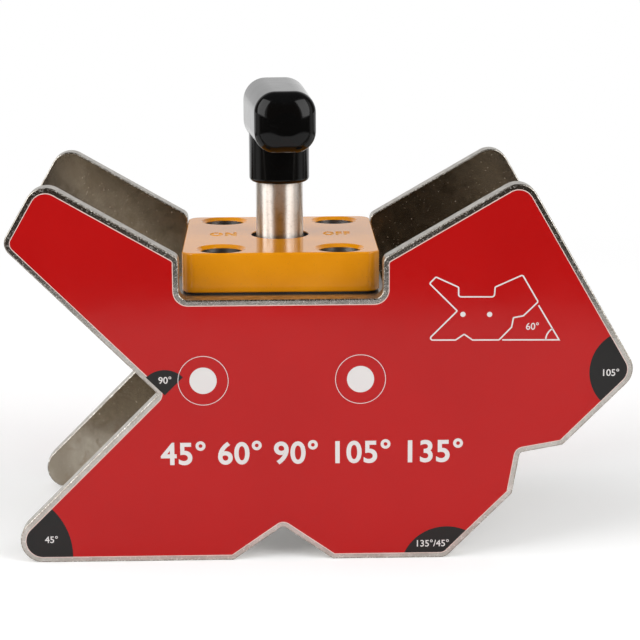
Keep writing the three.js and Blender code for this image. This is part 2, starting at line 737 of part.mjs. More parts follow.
// The square arm from its tail behind the stem to its tip in front, tapered about its middle line.
function armGeometry() {
  const length = armFrontReach + armBackReach;
  const section = roundedShape(rectangleCorners(armTailSize, armTailSize, armCornerRadius));
  const arm = extrudedWithEdges(section, length, armEndRadius, armEndSteps);
  const place = arm.getAttribute('position');
  for (let i = 0; i < place.count; i += 1) {
    const share = THREE.MathUtils.lerp(1, armTipSize / armTailSize, place.getZ(i) / length);
    place.setXY(i, place.getX(i) * share, place.getY(i) * share);
  }
  return arm.rotateX(Math.PI / 2).translate(0, armBackReach, coreMiddle);
}

function addGrip(group) {
  const edgeShort = sleeveEdge * (1 - Math.SQRT1_2);
  const sleeveProfile = [
    [0, sleeveBottom], [sleeveRadius - sleeveEdge, sleeveBottom],
    [sleeveRadius - edgeShort, sleeveBottom + edgeShort], [sleeveRadius, sleeveBottom + sleeveEdge],
    [sleeveRadius, coreMiddle], [0, coreMiddle],
  ];
  const frontEnd = armFrontReach - coreCover + seatGap;
  const backEnd = armBackReach - coreCover + seatGap;
  const cavityWidth = coreWidth + 2 * seatGap;
  const coreCavity = slab(cavityWidth, frontEnd + backEnd, coreBottom - seatGap, coreTop + seatGap)
    .translate(0, (backEnd - frontEnd) / 2, 0);
  const stemCavity = cylinder(stemRadius + seatGap, sleeveBottom - cutOverrun, coreBottom, largeSteps);
  const whole = join(armGeometry(), [turned(sleeveProfile, middleSteps)]);
  add(group, 'handle_grip', cut(whole, [coreCavity, stemCavity]), materials.blackPlastic);
}

// Assembly

const part = new THREE.Group();
const fixedPieces = new THREE.Group();
for (const sideName of Object.keys(sides)) {
  addPlateAndLabel(fixedPieces, sideName);
  addPlateFasteners(fixedPieces, sideName);
}
addHousing(fixedPieces);
addCover(fixedPieces);
addFixedMagnet(fixedPieces);
addFlange(fixedPieces);
addFlangePieces(fixedPieces);

const turningPieces = new THREE.Group();
addRotor(turningPieces);
addStem(turningPieces);
addHandleCore(turningPieces);
addGrip(turningPieces);
turningPieces.rotation.z = handleTurn;

part.add(fixedPieces, turningPieces);
part.updateMatrixWorld(true);
const middleX = new THREE.Box3().setFromObject(part, true).getCenter(new THREE.Vector3()).x;
part.position.x = -middleX;

export default part;
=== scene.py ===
import json
from collections import namedtuple
from math import atan2, ceil, cos, pi, radians, sin, tan

import bmesh
import bpy
from mathutils import Matrix, Vector

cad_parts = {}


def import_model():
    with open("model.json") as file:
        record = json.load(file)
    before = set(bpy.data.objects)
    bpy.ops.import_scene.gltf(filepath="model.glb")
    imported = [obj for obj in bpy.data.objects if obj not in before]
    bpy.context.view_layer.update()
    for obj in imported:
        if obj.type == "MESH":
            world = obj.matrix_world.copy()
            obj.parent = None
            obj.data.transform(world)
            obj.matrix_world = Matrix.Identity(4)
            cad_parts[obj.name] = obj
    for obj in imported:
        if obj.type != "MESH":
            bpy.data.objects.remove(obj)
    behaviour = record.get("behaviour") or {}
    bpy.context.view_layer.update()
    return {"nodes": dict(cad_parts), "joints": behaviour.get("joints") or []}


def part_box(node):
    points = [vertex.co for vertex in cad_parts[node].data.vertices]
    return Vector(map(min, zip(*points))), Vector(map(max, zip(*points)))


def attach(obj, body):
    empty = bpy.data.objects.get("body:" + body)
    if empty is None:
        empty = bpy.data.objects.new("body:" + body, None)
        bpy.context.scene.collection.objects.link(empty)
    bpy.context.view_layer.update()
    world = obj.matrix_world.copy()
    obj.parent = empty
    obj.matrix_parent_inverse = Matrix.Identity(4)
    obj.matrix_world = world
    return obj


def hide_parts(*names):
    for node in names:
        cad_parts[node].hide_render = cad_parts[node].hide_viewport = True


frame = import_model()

# The looks of a switchable multi-angle welding magnet. Metres, with X along the plates towards the pointed
# nose, Y from the front plate to the back plate and Z up. The stem's axis is the origin of the drawings.

MM = 0.001
AXIS = Vector((frame["joints"][0]["pos_m"][0], 0, 0))
SIDES = {"front": -1, "back": 1}
HANDS = {"left": -1, "right": 1}

# Camera, fitted to the photograph's edges
CAMERA_PLACE = Vector((-0.01483, -0.59851, 0.1929))
CAMERA_LENS = 114.19
CAMERA_SENSOR = 36
CAMERA_PITCH = radians(12.336)  # down
CAMERA_YAW = radians(1.469)  # towards +X
CAMERA_ROLL = radians(-0.259)

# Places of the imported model
PLATE_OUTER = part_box("back_plate")[1].y
PLATE_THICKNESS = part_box("back_plate")[1].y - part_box("back_plate")[0].y
LABEL_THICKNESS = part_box("back_label")[1].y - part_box("back_label")[0].y
FLANGE_LOW, FLANGE_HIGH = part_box("flange")
FLANGE_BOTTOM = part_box("flange_gasket")[1].z
FLANGE_TOP = FLANGE_HIGH.z
FLANGE_WIDTH = FLANGE_HIGH.x - FLANGE_LOW.x
FLANGE_DEPTH = FLANGE_HIGH.y - FLANGE_LOW.y
SPIGOT_BOTTOM = FLANGE_LOW.z
STEM_LOW, STEM_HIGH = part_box("stem")
SLEEVE_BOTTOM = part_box("handle_grip")[0].z
CORE_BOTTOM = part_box("handle_core")[0].z
CORE_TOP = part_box("handle_core")[1].z
ARM_MIDDLE = (CORE_BOTTOM + CORE_TOP) / 2
HANDLE_TURN = radians(4.5)

# Plate outline, as in the construction
PLATE_EDGE = 0.4 * MM
LEFT_HORN_REACH = 67.4 * MM
RIGHT_HORN_EXTRA = 1.3 * MM
TOE_REACH = 84.7 * MM
HEEL_REACH = 46.9 * MM
VEE_HEIGHT = 49.6 * MM
FOOT_NOTCH_DEPTH = 10 * MM
FLANK_NOTCH_DEPTH = 7.1 * MM
FLANK_NOTCH_SHIFT = 1.5 * MM
TOP_NOTCH_DEPTH = 12.1 * MM
TOP_NOTCH_SIDE_GAP = 0.55 * MM
TOP_NOTCH_DROP = 0.3 * MM
PLATE_TOP_ANGLE = radians(30)
PLATE_SIDE_ANGLE = radians(60)
PLATE_FLANK_ANGLE = radians(45)
NOTCH_SIDE_ANGLE = radians(35)
HORN_RADIUS = 6 * MM
TOE_RADIUS = 6.5 * MM
HEEL_RADIUS = 4 * MM
NOSE_RADIUS = 6 * MM
CHEEK_RADIUS = 4 * MM
SHOULDER_RADIUS = 2.5 * MM
TOP_NOTCH_RADIUS = 2.6 * MM
NOTCH_RADIUS = 1.2 * MM

# Label: film, red ink, black ink and white ink, one upon the other
LABEL_MARGIN = 1.5 * MM
FILM_BORDER = 0.22 * MM  # film that shows round the red
INK = 0.014 * MM
INK_DEPTH_SHARE = 3.2  # of one ink: from the label's face down to the film
FILM_TOP = LABEL_THICKNESS - INK_DEPTH_SHARE * INK
RED_TOP = FILM_TOP + INK
BLACK_TOP = RED_TOP + INK
WHITE_TOP = BLACK_TOP + INK

# Prints, seen from the front: distances from the stem's axis and heights
DOT_REACH = 22.3 * MM
DOT_HEIGHT = 53.5 * MM
DOT_RADIUS = 3.85 * MM
RING_RADIUS = 7.1 * MM
RING_LINE = 0.17 * MM
NOTE_CAP = 2 * MM
NOTE_SWELL = 0.012
BIG_CAP = 6.5 * MM
BIG_SWELL = 0.03
BIG_SPACING = 1.05
BIG_LEFT = -34.8 * MM
BIG_RIGHT = 51.7 * MM
BIG_BASE = 29 * MM
DIAGRAM_LINE = 0.4 * MM
DIAGRAM_DOT = 0.75 * MM
DIAGRAM_ARC = 3.8 * MM

# Flange
FLANGE_CORNER = 4 * MM
FLANGE_EDGE = 0.55 * MM
FLANGE_FLOOR = 3.3 * MM
SPIGOT_RADIUS = 21.81 * MM
SCREW_SIDE_INSET = 11.2 * MM
SCREW_LAND = 0.4 * MM
COUNTERBORE_RADIUS = 6 * MM
COUNTERBORE_LIP = 1.1 * MM
COUNTERBORE_LIP_DEPTH = 0.9 * MM
LIP_EDGE = 0.25 * MM
STEM_RECESS_RADIUS = 8.5 * MM
STEM_RECESS_LIP = 0.3 * MM
BUSHING_HOLE = 9.35 * MM
BUSHING_TOP = FLANGE_TOP - 6.5 * MM
STOP_GROOVE_REACH = 15 * MM
STOP_GROOVE_HALF = 2.3 * MM
STOP_GROOVE_DEPTH = 4 * MM
MARK_REACH = 16.9 * MM
MARK_SIZE = 5.4 * MM
MARK_WIDTH = 8 * MM
MARK_DEPTH = 0.13 * MM
MARK_WEIGHT = 0.09
MARK_SPACING = 1.3

# Socket cap screws M6
HEAD_RADIUS = 5 * MM
HEAD_HEIGHT = 6 * MM
HEAD_EDGE = 0.6 * MM
HEAD_RECESS = 2.2 * MM
SHANK_RADIUS = 3 * MM
SHANK_HOLE = 3.3 * MM
SOCKET_WIDTH = 5 * MM
SOCKET_DEPTH = 3 * MM
SOCKET_MOUTH = 0.35 * MM
SOCKET_POINT = 0.8 * MM
SCREW_LENGTH = 19.8 * MM
SCREW_POINT = 0.6 * MM
KNURLS = 40
KNURL_DEPTH = 0.14 * MM
KNURL_STEPS = 6  # points for each tooth
KNURL_ROWS = 8
KNURL_TOP = -HEAD_EDGE - 0.35 * MM
KNURL_BOTTOM = -HEAD_HEIGHT + 0.65 * MM
KNURL_FADE = 0.15 * MM  # how far past its rows the knurling reaches

# Countersunk screws and dowels of the plates
SUNK_REACH = DOT_REACH
SUNK_HEIGHT = 53.6 * MM
SUNK_MOUTH = 6.3 * MM
SUNK_HEAD = 3.3 * MM
SUNK_DROP = 0.2 * MM
DOWEL_REACH = 22 * MM
DOWEL_HEIGHT = 29.4 * MM
DOWEL_HOLE = 2.8 * MM

# Stem
STEM_RADIUS = 7 * MM
STEM_NECK = 3.5 * MM
COLLAR_RADIUS = 9 * MM
COLLAR_HEIGHT = 2.5 * MM
TANG_WIDTH = 9 * MM
STEM_CHAMFER = 0.3 * MM
PIN_HOLE = 1.8 * MM

# Handle grip
SLEEVE_RADIUS = 8.9 * MM
SLEEVE_EDGE = 1.4 * MM
ARM_FRONT = 25.5 * MM
ARM_BACK = 16.5 * MM
ARM_TAIL = 19.4 * MM
ARM_TIP = 17.6 * MM
ARM_CORNER = 6.8 * MM
ARM_END = 4.6 * MM  # how far the rounding of its ends reaches along it
ARM_END_INSET = 6.5 * MM  # and across it
ARM_ROUNDEST_SHARE = 0.92  # of half its width, the corners' rounding at its ends
ARM_ROUNDING_POWER = 1.5
CORE_WIDTH = 11 * MM
CORE_COVER = 6 * MM
SEAT_GAP = 0.3 * MM

# Steps of the curves and limits of the mesh work
CORNER_STEP = radians(6)
EDGE_STEPS = 4
SLEEVE_STEPS = 6
ARM_STEPS = 10
ARC_STEPS = 12
FAN_STEPS = 24
SMALL_ROUND_STEPS = 32
GROOVE_STEPS = 48
ROUND_STEPS = 96
LEAST_RADIUS = 0.3 * MM
CLEAN_DISTANCE = 1e-7
SMOOTH_ANGLE = radians(28)
SHARP_ANGLE = radians(35)
FLAT_ANGLE = radians(1)
OVERRUN = 1 * MM


# Shader helpers

def tree_of(name):
    """A new material and a function that adds nodes to it, with inputs by name and links where a value is a
    socket."""
    made = bpy.data.materials.new(name)
    made.use_nodes = True
    made.node_tree.nodes.clear()
    return made, adder(made.node_tree)


def adder(tree):
    def add(kind, inputs=None, **settings):
        node = tree.nodes.new("ShaderNode" + kind)
        for key, value in settings.items():
            setattr(node, key, value)
        for key, value in (inputs or {}).items():
            if isinstance(value, bpy.types.NodeSocket):
                tree.links.new(value, node.inputs[key])
            else:
                node.inputs[key].default_value = value
        return node
    return add


def rgba(colour):
    return (*colour, 1)


def grey(level):
    return (level, level, level)


def grains(add, stretch, detail=3, roughness=0.5, distortion=0.0):
    """Noise with grains of 1 / stretch metres. The stretch is one number, or one for each axis."""
    scale = stretch if isinstance(stretch, tuple) else (stretch, stretch, stretch)
    place = add("Mapping", {"Vector": add("TexCoord").outputs["Object"], "Scale": scale}).outputs["Vector"]
    inputs = {"Vector": place, "Scale": 1, "Detail": detail, "Roughness": roughness}
    return add("TexNoise", {**inputs, "Distortion": distortion}).outputs["Fac"]


def ranged(add, value, low, high, to_low=0.0, to_high=1.0):
    inputs = {"Value": value, "From Min": low, "From Max": high, "To Min": to_low, "To Max": to_high}
    return add("MapRange", inputs, clamp=True).outputs["Result"]


def blended(add, share, first, second):
    node = add("Mix", data_type="RGBA")
    tree = node.id_data
    for socket, value in ((node.inputs[0], share), (node.inputs[6], first), (node.inputs[7], second)):
        if isinstance(value, bpy.types.NodeSocket):
            tree.links.new(value, socket)
        elif socket.type == "RGBA":
            socket.default_value = rgba(value)
        else:
            socket.default_value = value
    return node.outputs[2]


def toned(add, mask, low, high, first, second, most=1.0):
    """The first colour turned to the second where the mask rises from low to high, by no more than most."""
    return blended(add, ranged(add, mask, low, high, 0, most), first, second)


def relief(add, height, distance, strength=1.0, under=None):
    inputs = {"Height": height, "Distance": distance, "Strength": strength}
    if under is not None:
        inputs["Normal"] = under
    return add("Bump", inputs).outputs["Normal"]


def mixed(add, share, first, second):
    """One shader turned to another by the share."""
    return add("MixShader", {0: share, 1: first.outputs[0], 2: second.outputs[0]})


def principled(add, colour, roughness, normal=None, metallic=0.0, specular=0.5):
    inputs = {"Base Color": colour, "Roughness": roughness, "Metallic": metallic}
    if normal is not None:
        inputs["Normal"] = normal
    surface = add("BsdfPrincipled", inputs)
    surface.inputs["Specular IOR Level"].default_value = specular
    add("OutputMaterial", {"Surface": surface.outputs["BSDF"]})
    return surface


# Materials

def nickel_face():
    """Bright nickel on a rolled plate: brown stains, clouds, rolling streaks, pits and scratches."""
    made, add = tree_of("nickel_face")
    clouds = grains(add, 60, 5, 0.6, 0.6)
    stains = grains(add, 220, 5, 0.66, 0.8)
    streaks = grains(add, (420, 420, 45), 3, 0.6, 0.3)
    pits = grains(add, 1500, 2, 0.5)
    scratches = grains(add, (260, 260, 2400), 2, 0.5, 1.5)
    tone = toned(add, clouds, 0.35, 0.68, (0.36, 0.31, 0.245), (0.52, 0.465, 0.385))
    tone = toned(add, streaks, 0.4, 0.75, tone, (0.30, 0.255, 0.20), 0.35)
    tone = toned(add, stains, 0.54, 0.7, tone, (0.27, 0.19, 0.125), 0.6)
    tone = toned(add, pits, 0.68, 0.75, tone, (0.80, 0.76, 0.68), 0.6)
    tone = toned(add, scratches, 0.70, 0.74, tone, (0.70, 0.66, 0.58), 0.35)
    smooth = ranged(add, stains, 0.3, 0.75, 0.12, 0.27)
    pitted = ranged(add, pits, 0.66, 0.72, 0, 0.4)
    rough = add("Math", {0: smooth, 1: pitted}, operation="MAXIMUM").outputs[0]
    normal = relief(add, clouds, 0.12 * MM, 0.3)
    normal = relief(add, pits, 0.008 * MM, 0.3, normal)
    principled(add, tone, rough, normal, metallic=1.0)
    return made


def nickel_edge():
    """The same plating over the sawn and tumbled edges, with a coarse orange peel that glints."""
    made, add = tree_of("nickel_edge")
    peel = grains(add, 1300, 3, 0.65)
    dimples = grains(add, 420, 3, 0.55, 0.3)
    tone = toned(add, dimples, 0.42, 0.62, (0.44, 0.41, 0.37), (0.60, 0.57, 0.52))
    rough = ranged(add, peel, 0.3, 0.7, 0.3, 0.48)
    normal = relief(add, dimples, 0.1 * MM, 0.4)
    normal = relief(add, peel, 0.05 * MM, 0.7, normal)
    principled(add, tone, rough, normal, metallic=1.0)
    return made


def nickel_margin():
    """The plates' outer faces, which only show round the labels: bright, with specks and fine nicks."""
    made, add = tree_of("nickel_margin")
    clouds = grains(add, 180, 4, 0.6, 0.5)
    specks = grains(add, 1300, 4, 0.75, 0.6)
    tone = toned(add, clouds, 0.35, 0.65, (0.46, 0.43, 0.39), (0.62, 0.59, 0.55))
    tone = toned(add, specks, 0.56, 0.68, tone, (0.85, 0.83, 0.79))
    rough = ranged(add, specks, 0.54, 0.68, 0.14, 0.4)
    normal = relief(add, specks, 0.035 * MM, 0.5)
    principled(add, tone, rough, normal, metallic=1.0)
    return made


def nickel_rim():
    """The plating over the broken edges, nicked and tumbled, so that it glints in small flecks."""
    made, add = tree_of("nickel_rim")
    nicks = grains(add, 1900, 3, 0.7, 0.5)
    runs = grains(add, 240, 3, 0.6)
    tone = toned(add, nicks, 0.5, 0.66, (0.34, 0.31, 0.27), (0.88, 0.85, 0.80))
    tone = toned(add, runs, 0.5, 0.7, tone, (0.22, 0.19, 0.16), 0.7)
    rough = ranged(add, nicks, 0.3, 0.7, 0.16, 0.36)
    normal = relief(add, nicks, 0.07 * MM, 0.6)
    principled(add, tone, rough, normal, metallic=1.0)
    return made


def film():
    """The label's bare film at its cut edge."""
    made, add = tree_of("label_film")
    fibres = grains(add, 900, 2)
    tone = blended(add, fibres, (0.66, 0.47, 0.43), (0.78, 0.62, 0.57))
    principled(add, tone, 0.4)
    return made


def ink(name, light, dark, roughness):
    """Printed ink under a clear gloss film that isn't quite flat."""
    made, add = tree_of(name)
    clouds = grains(add, 26, 4, 0.55)
    waves = grains(add, 45, 2, 0.4)
    dust = grains(add, 1300, 2, 0.6)
    tone = toned(add, clouds, 0.3, 0.7, dark, light)
    rough = ranged(add, dust, 0.35, 0.8, roughness, roughness + 0.08)
    normal = relief(add, waves, 0.5 * MM, 0.25)
    principled(add, tone, rough, normal, specular=0.3)
    return made


def yellow_paint(name, dark, light, dullest, gloss=0.5):
    """Thick glossy paint with orange peel and a little dust; duller where it has run into the marks, where
    lighter tones are given as painted light against the shade of the sunk letters.
    """
    made, add = tree_of(name)
    clouds = grains(add, 60, 4, 0.55)
    peel = grains(add, 420, 2, 0.45)
    dust = grains(add, 2400, 2, 0.7)
    tone = toned(add, clouds, 0.3, 0.7, dark, light)
    tone = toned(add, dust, 0.66, 0.74, tone, (0.30, 0.13, 0.02), 0.5)
    rough = ranged(add, clouds, 0.3, 0.75, dullest / 2, dullest)
    normal = relief(add, peel, 0.03 * MM, 0.4)
    principled(add, tone, rough, normal, specular=gloss)
    return made


def turned_steel():
    """Satin stainless steel with fine turning rings and small rubbed spots."""
    made, add = tree_of("turned_steel")
    rings = grains(add, (60, 60, 9000), 3, 0.6)
    bands = grains(add, (40, 40, 700), 3, 0.5)
    spots = grains(add, (900, 900, 1300), 3, 0.65)
    tone = toned(add, spots, 0.5, 0.7, (0.74, 0.71, 0.67), (0.60, 0.57, 0.53))
    rough = ranged(add, bands, 0.3, 0.7, 0.34, 0.42)
    normal = relief(add, rings, 0.004 * MM, 0.5)
    normal = relief(add, spots, 0.005 * MM, 0.3, normal)
    surface = principled(add, tone, rough, normal, metallic=1.0)
    surface.inputs["Anisotropic"].default_value = 0.95
    surface.inputs["Anisotropic Rotation"].default_value = 0.25
    around = add("Tangent", direction_type="RADIAL", axis="Z")
    made.node_tree.links.new(around.outputs["Tangent"], surface.inputs["Tangent"])
    return made


def black_plastic():
    """Polished black moulding with handling marks in its gloss."""
    made, add = tree_of("black_plastic")
    smears = grains(add, (110, 110, 60), 5, 0.6, 0.8)
    ripples = grains(add, 130, 2, 0.4)
    dust = grains(add, 2600, 1, 0.5)
    tone = toned(add, dust, 0.68, 0.8, (0.0022, 0.0022, 0.0023), grey(0.012))
    rough = ranged(add, smears, 0.35, 0.75, 0.07, 0.17)
    normal = relief(add, ripples, 0.12 * MM, 0.3)
    principled(add, tone, rough, normal, specular=0.23)
    return made


def machined(name, light, dark, stretch, roughness, depth=0.02 * MM, metallic=1.0):
    """A cut or ground surface: lines or grains of the given stretch, with a cloudy tone."""
    made, add = tree_of(name)
    lines = grains(add, stretch, 3, 0.6)
    clouds = grains(add, 95, 4, 0.55)
    tone = toned(add, clouds, 0.3, 0.7, dark, light)
    tone = toned(add, lines, 0.45, 0.75, tone, dark, 0.35)
    rough = ranged(add, lines, 0.3, 0.7, roughness, roughness + 0.14)
    normal = relief(add, lines, depth, 0.6)
    principled(add, tone, rough, normal, metallic=metallic)
    return made


NICKEL_FACE = nickel_face()
NICKEL_EDGE = nickel_edge()
NICKEL_RIM = nickel_rim()
NICKEL_MARGIN = nickel_margin()
FILM = film()
RED_INK = ink("red_ink", (0.445, 0.0055, 0.0055), (0.41, 0.0045, 0.0045), 0.08)
BLACK_INK = ink("black_ink", (0.014, 0.0128, 0.012), (0.011, 0.0103, 0.01), 0.14)
WHITE_INK = ink("white_ink", (0.73, 0.70, 0.69), (0.68, 0.655, 0.64), 0.16)
YELLOW_PAINT = yellow_paint("yellow_paint", (0.69, 0.243, 0.0015), (0.78, 0.292, 0.003), 0.14)
# The marks' paint: the same yellow paint, duller, in lighter and more orange tones that are painted light
# against the shade of the sunk letters.
MARK_PAINT_PAINTED_LIGHT = yellow_paint("mark_paint_painted_light", (0.80, 0.33, 0.004), (0.92, 0.42, 0.008), 0.6, 0.2)
TURNED_STEEL = turned_steel()
BLACK_PLASTIC = black_plastic()
SCREW_STEEL = machined("screw_steel", (0.44, 0.44, 0.45), (0.20, 0.20, 0.205), 1500, 0.2)
BARE_STEEL = machined("bare_steel", (0.34, 0.33, 0.32), (0.13, 0.125, 0.12), (900, 900, 2600), 0.26)
POLE_STEEL = machined("pole_steel", (0.46, 0.455, 0.44), (0.28, 0.275, 0.265), (60, 60, 2600), 0.3)
SATIN_STEEL = machined("satin_steel", (0.70, 0.69, 0.67), (0.50, 0.49, 0.47), (90, 3200, 3200), 0.22)
BRASS = machined("brass", (0.76, 0.53, 0.19), (0.52, 0.34, 0.11), (70, 70, 2400), 0.22)
BRONZE = machined("bronze", (0.56, 0.33, 0.13), (0.33, 0.18, 0.07), 1500, 0.38)
MAGNET = machined("magnet_plating", (0.60, 0.60, 0.62), (0.42, 0.42, 0.44), 800, 0.2)
RUBBER = machined("black_rubber", grey(0.022), grey(0.012), 1900, 0.6, 0.05 * MM, 0.0)

# Bottom, top and ink of the two upper prints
BLACK_PRINT = (RED_TOP, BLACK_TOP, BLACK_INK)
WHITE_PRINT = (BLACK_TOP, WHITE_TOP, WHITE_INK)


# Mesh helpers

def placed(name, data):
    holder = bpy.data.objects.new(name, data)
    bpy.context.scene.collection.objects.link(holder)
    return holder


def linked(name, mesh, materials):
    for item in materials:
        mesh.materials.append(item)
    return placed(name, mesh)


def shown_mesh(holder):
    """A mesh of the object as it shows, with its modifiers or its text carried out."""
    return bpy.data.meshes.new_from_object(holder.evaluated_get(bpy.context.evaluated_depsgraph_get()))


def solid(name, points, faces, materials, slots=None):
    """An object from points and faces, cleaned, with its faces pointing out."""
    mesh = bpy.data.meshes.new(name)
    mesh.from_pydata([tuple(point) for point in points], [], faces)
    if slots:
        mesh.polygons.foreach_set("material_index", slots)
    tidy(mesh)
    return linked(name, mesh, materials)


def tidy(mesh):
    """Joins double points, drops collapsed faces and points the rest out."""
    work = bmesh.new()
    work.from_mesh(mesh)
    bmesh.ops.remove_doubles(work, verts=work.verts, dist=CLEAN_DISTANCE)
    bmesh.ops.dissolve_degenerate(work, edges=work.edges, dist=CLEAN_DISTANCE)
    bmesh.ops.recalc_face_normals(work, faces=work.faces)
    work.to_mesh(mesh)
    work.free()


def strip(low, high, count):
    """The faces between two rings of points, which start at the numbers low and high."""
    pairs = [(at, (at + 1) % count) for at in range(count)]
    return [(low + at, low + after, high + after, high + at) for at, after in pairs]


def loft(name, loops, materials, row_slots=None, last_cap=0):
    """A closed body through loops with equal numbers of points, capped at both ends. row_slots gives each
    stretch between two loops a material and last_cap the last cap; all else takes the first material."""
    count = len(loops[0])
    points = [point for loop in loops for point in loop]
    faces = [tuple(range(count)), tuple(range(len(points) - count, len(points)))]
    slots = [0, last_cap]
    for row in range(len(loops) - 1):
        faces += strip(row * count, (row + 1) * count, count)
        slots += [row_slots[row] if row_slots else 0] * count
    return solid(name, points, faces, materials, slots)


def turned(name, profile, materials, steps=ROUND_STEPS, shape=None, row_slots=None):
    """A body of revolution about Z through a profile of (radius, height), which starts and ends on the
    axis. shape(angle, radius, height) may change a radius, and row_slots gives each stretch of the profile
    a material."""
    points = []
    for radius, height in profile:
        for angle in spread(0, 2 * pi, steps)[:-1]:
            reach = shape(angle, radius, height) if shape else radius
            points.append((reach * cos(angle), reach * sin(angle), height))
    faces = []
    for row in range(len(profile) - 1):
        faces += strip(row * steps, (row + 1) * steps, steps)
    slots = [slot for slot in row_slots for _ in range(steps)] if row_slots else None
    return solid(name, points, faces, materials, slots)


def rod(name, radius, start, end, material, steps=ROUND_STEPS):
    """A plain round body about Z, from one height to the other."""
    return turned(name, [(0, start), (radius, start), (radius, end), (0, end)], [material], steps)


def spread(start, end, steps):
    """Evenly spaced values from start to end."""
    return [start + (end - start) * step / steps for step in range(steps + 1)]


def quarter(steps=EDGE_STEPS):
    return spread(0, pi / 2, steps)


def arc(x, y, radius, angles):
    return [(x + radius * cos(angle), y + radius * sin(angle)) for angle in angles]


def prism(name, loop, bottom, top, material):
    """A flat loop in XY made a body from bottom to top."""
    return loft(name, [[(x, y, z) for x, y in loop] for z in (bottom, top)], [material])


def bar(name, low, high, material):
    loop = [(low[0], low[1]), (high[0], low[1]), (high[0], high[1]), (low[0], high[1])]
    return prism(name, loop, low[2], high[2], material)


def moved(piece, place):
    piece.data.transform(place)
    return piece


def shifted(piece, x=0.0, y=0.0, z=0.0):
    return moved(piece, Matrix.Translation((x, y, z)))


def combine(piece, tools, operation):
    """Cuts, joins or intersects the piece with the tools, which are used up."""
    for tool in tools:
        modifier = piece.modifiers.new("combine", "BOOLEAN")
        modifier.operation = operation
        modifier.solver = "EXACT"
        modifier.material_mode = "TRANSFER"
        modifier.object = tool
        mesh = shown_mesh(piece)
        piece.modifiers.clear()
        piece.data = mesh
        bpy.data.objects.remove(tool)
    return piece


def cut(piece, tools):
    return combine(piece, tools, "DIFFERENCE")


def joined(piece, tools):
    return combine(piece, tools, "UNION")


def smoothed(piece):
    """Smooth shading with sharp edges where faces meet steeply."""
    mesh = piece.data
    mesh.polygons.foreach_set("use_smooth", [True] * len(mesh.polygons))
    mesh.set_sharp_from_angle(angle=SMOOTH_ANGLE)
    weighted = piece.modifiers.new("normals", "WEIGHTED_NORMAL")
    weighted.keep_sharp = True
    return piece


def finished(piece, body, slot, *nodes):
    """Says what a finished piece rides on and which nodes it stands for; the slot is not used."""
    tidy(piece.data)
    smoothed(piece)
    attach(piece, body)
    if nodes:
        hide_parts(*nodes)
    return piece


# Outlines

Corner = namedtuple("Corner", "at radius")


def edges_at(corners, index):
    at = corners[index].at
    before = corners[index - 1].at - at
    after = corners[(index + 1) % len(corners)].at - at
    shorter = min(before.length, after.length)
    before.normalize()
    after.normalize()
    return before, after, before.angle(after) / 2, shorter


def outward_sign(before, after):
    """1 at a corner that stands out, -1 at one that goes in."""
    return -1 if before.cross(after) > 0 else 1


def rounded(corners):
    """The outline through the corners, counter-clockwise, each rounded by an arc that takes no more than
    half of its shorter edge."""
    loop = []
    for index, (at, radius) in enumerate(corners):
        before, after, half_angle, shorter = edges_at(corners, index)
        reach = min(radius / tan(half_angle), shorter / 2)
        fitted = reach * tan(half_angle)
        middle = (before + after).normalized()
        centre = at + middle * (fitted / sin(half_angle))
        start = at + before * reach - centre
        start_angle = atan2(start.y, start.x)
        sweep = outward_sign(before, after) * (pi - 2 * half_angle)
        steps = max(2, ceil(abs(sweep) / CORNER_STEP - 0.01))
        for step in range(steps + 1):
            angle = start_angle + sweep * step / steps
            loop.append((centre.x + fitted * cos(angle), centre.y + fitted * sin(angle)))
    return loop


def inset(corners, margin):
    """The same corners after every edge has moved in by the margin."""
    made = []
    for index, (at, radius) in enumerate(corners):
        before, after, half_angle, _ = edges_at(corners, index)
        inward = outward_sign(before, after)
        middle = (before + after).normalized()
        place = at + middle * (inward * margin / sin(half_angle))
        made.append(Corner(place, max(radius - inward * margin, LEAST_RADIUS)))
    return made


def rectangle(width, depth, radius):
    quarters = ((-1, -1), (1, -1), (1, 1), (-1, 1))
    return [Corner(Vector((x * width / 2, y * depth / 2)), radius) for x, y in quarters]


def edged_loops(corners, bottom, top, edge):
    """Loops from bottom to top with both edges rounded by a quarter circle."""
    levels = [(edge * (1 - sin(turn)), bottom + edge * (1 - cos(turn))) for turn in quarter()]
    levels += [(edge * (1 - sin(turn)), top - edge * (1 - cos(turn))) for turn in reversed(quarter())]
    loops = []
    for margin, height in levels:
        loop = rounded(inset(corners, margin) if margin else corners)
        loops.append([(x, y, height) for x, y in loop])
    return loops


def meet(a, angle_a, b, angle_b):
    """Where the line through a at angle_a crosses the line through b at angle_b."""
    along_a = Vector((cos(angle_a), sin(angle_a)))
    along_b = Vector((cos(angle_b), sin(angle_b)))
    return a + along_a * ((b - a).cross(along_b) / along_a.cross(along_b))


def notch(middle, edge_angle, depth):
    along = Vector((cos(edge_angle), sin(edge_angle)))
    inward = Vector((-along.y, along.x))
    half_width = depth / tan(NOTCH_SIDE_ANGLE)
    places = (middle - along * half_width, middle + inward * depth, middle + along * half_width)
    return [Corner(place, NOTCH_RADIUS) for place in places]


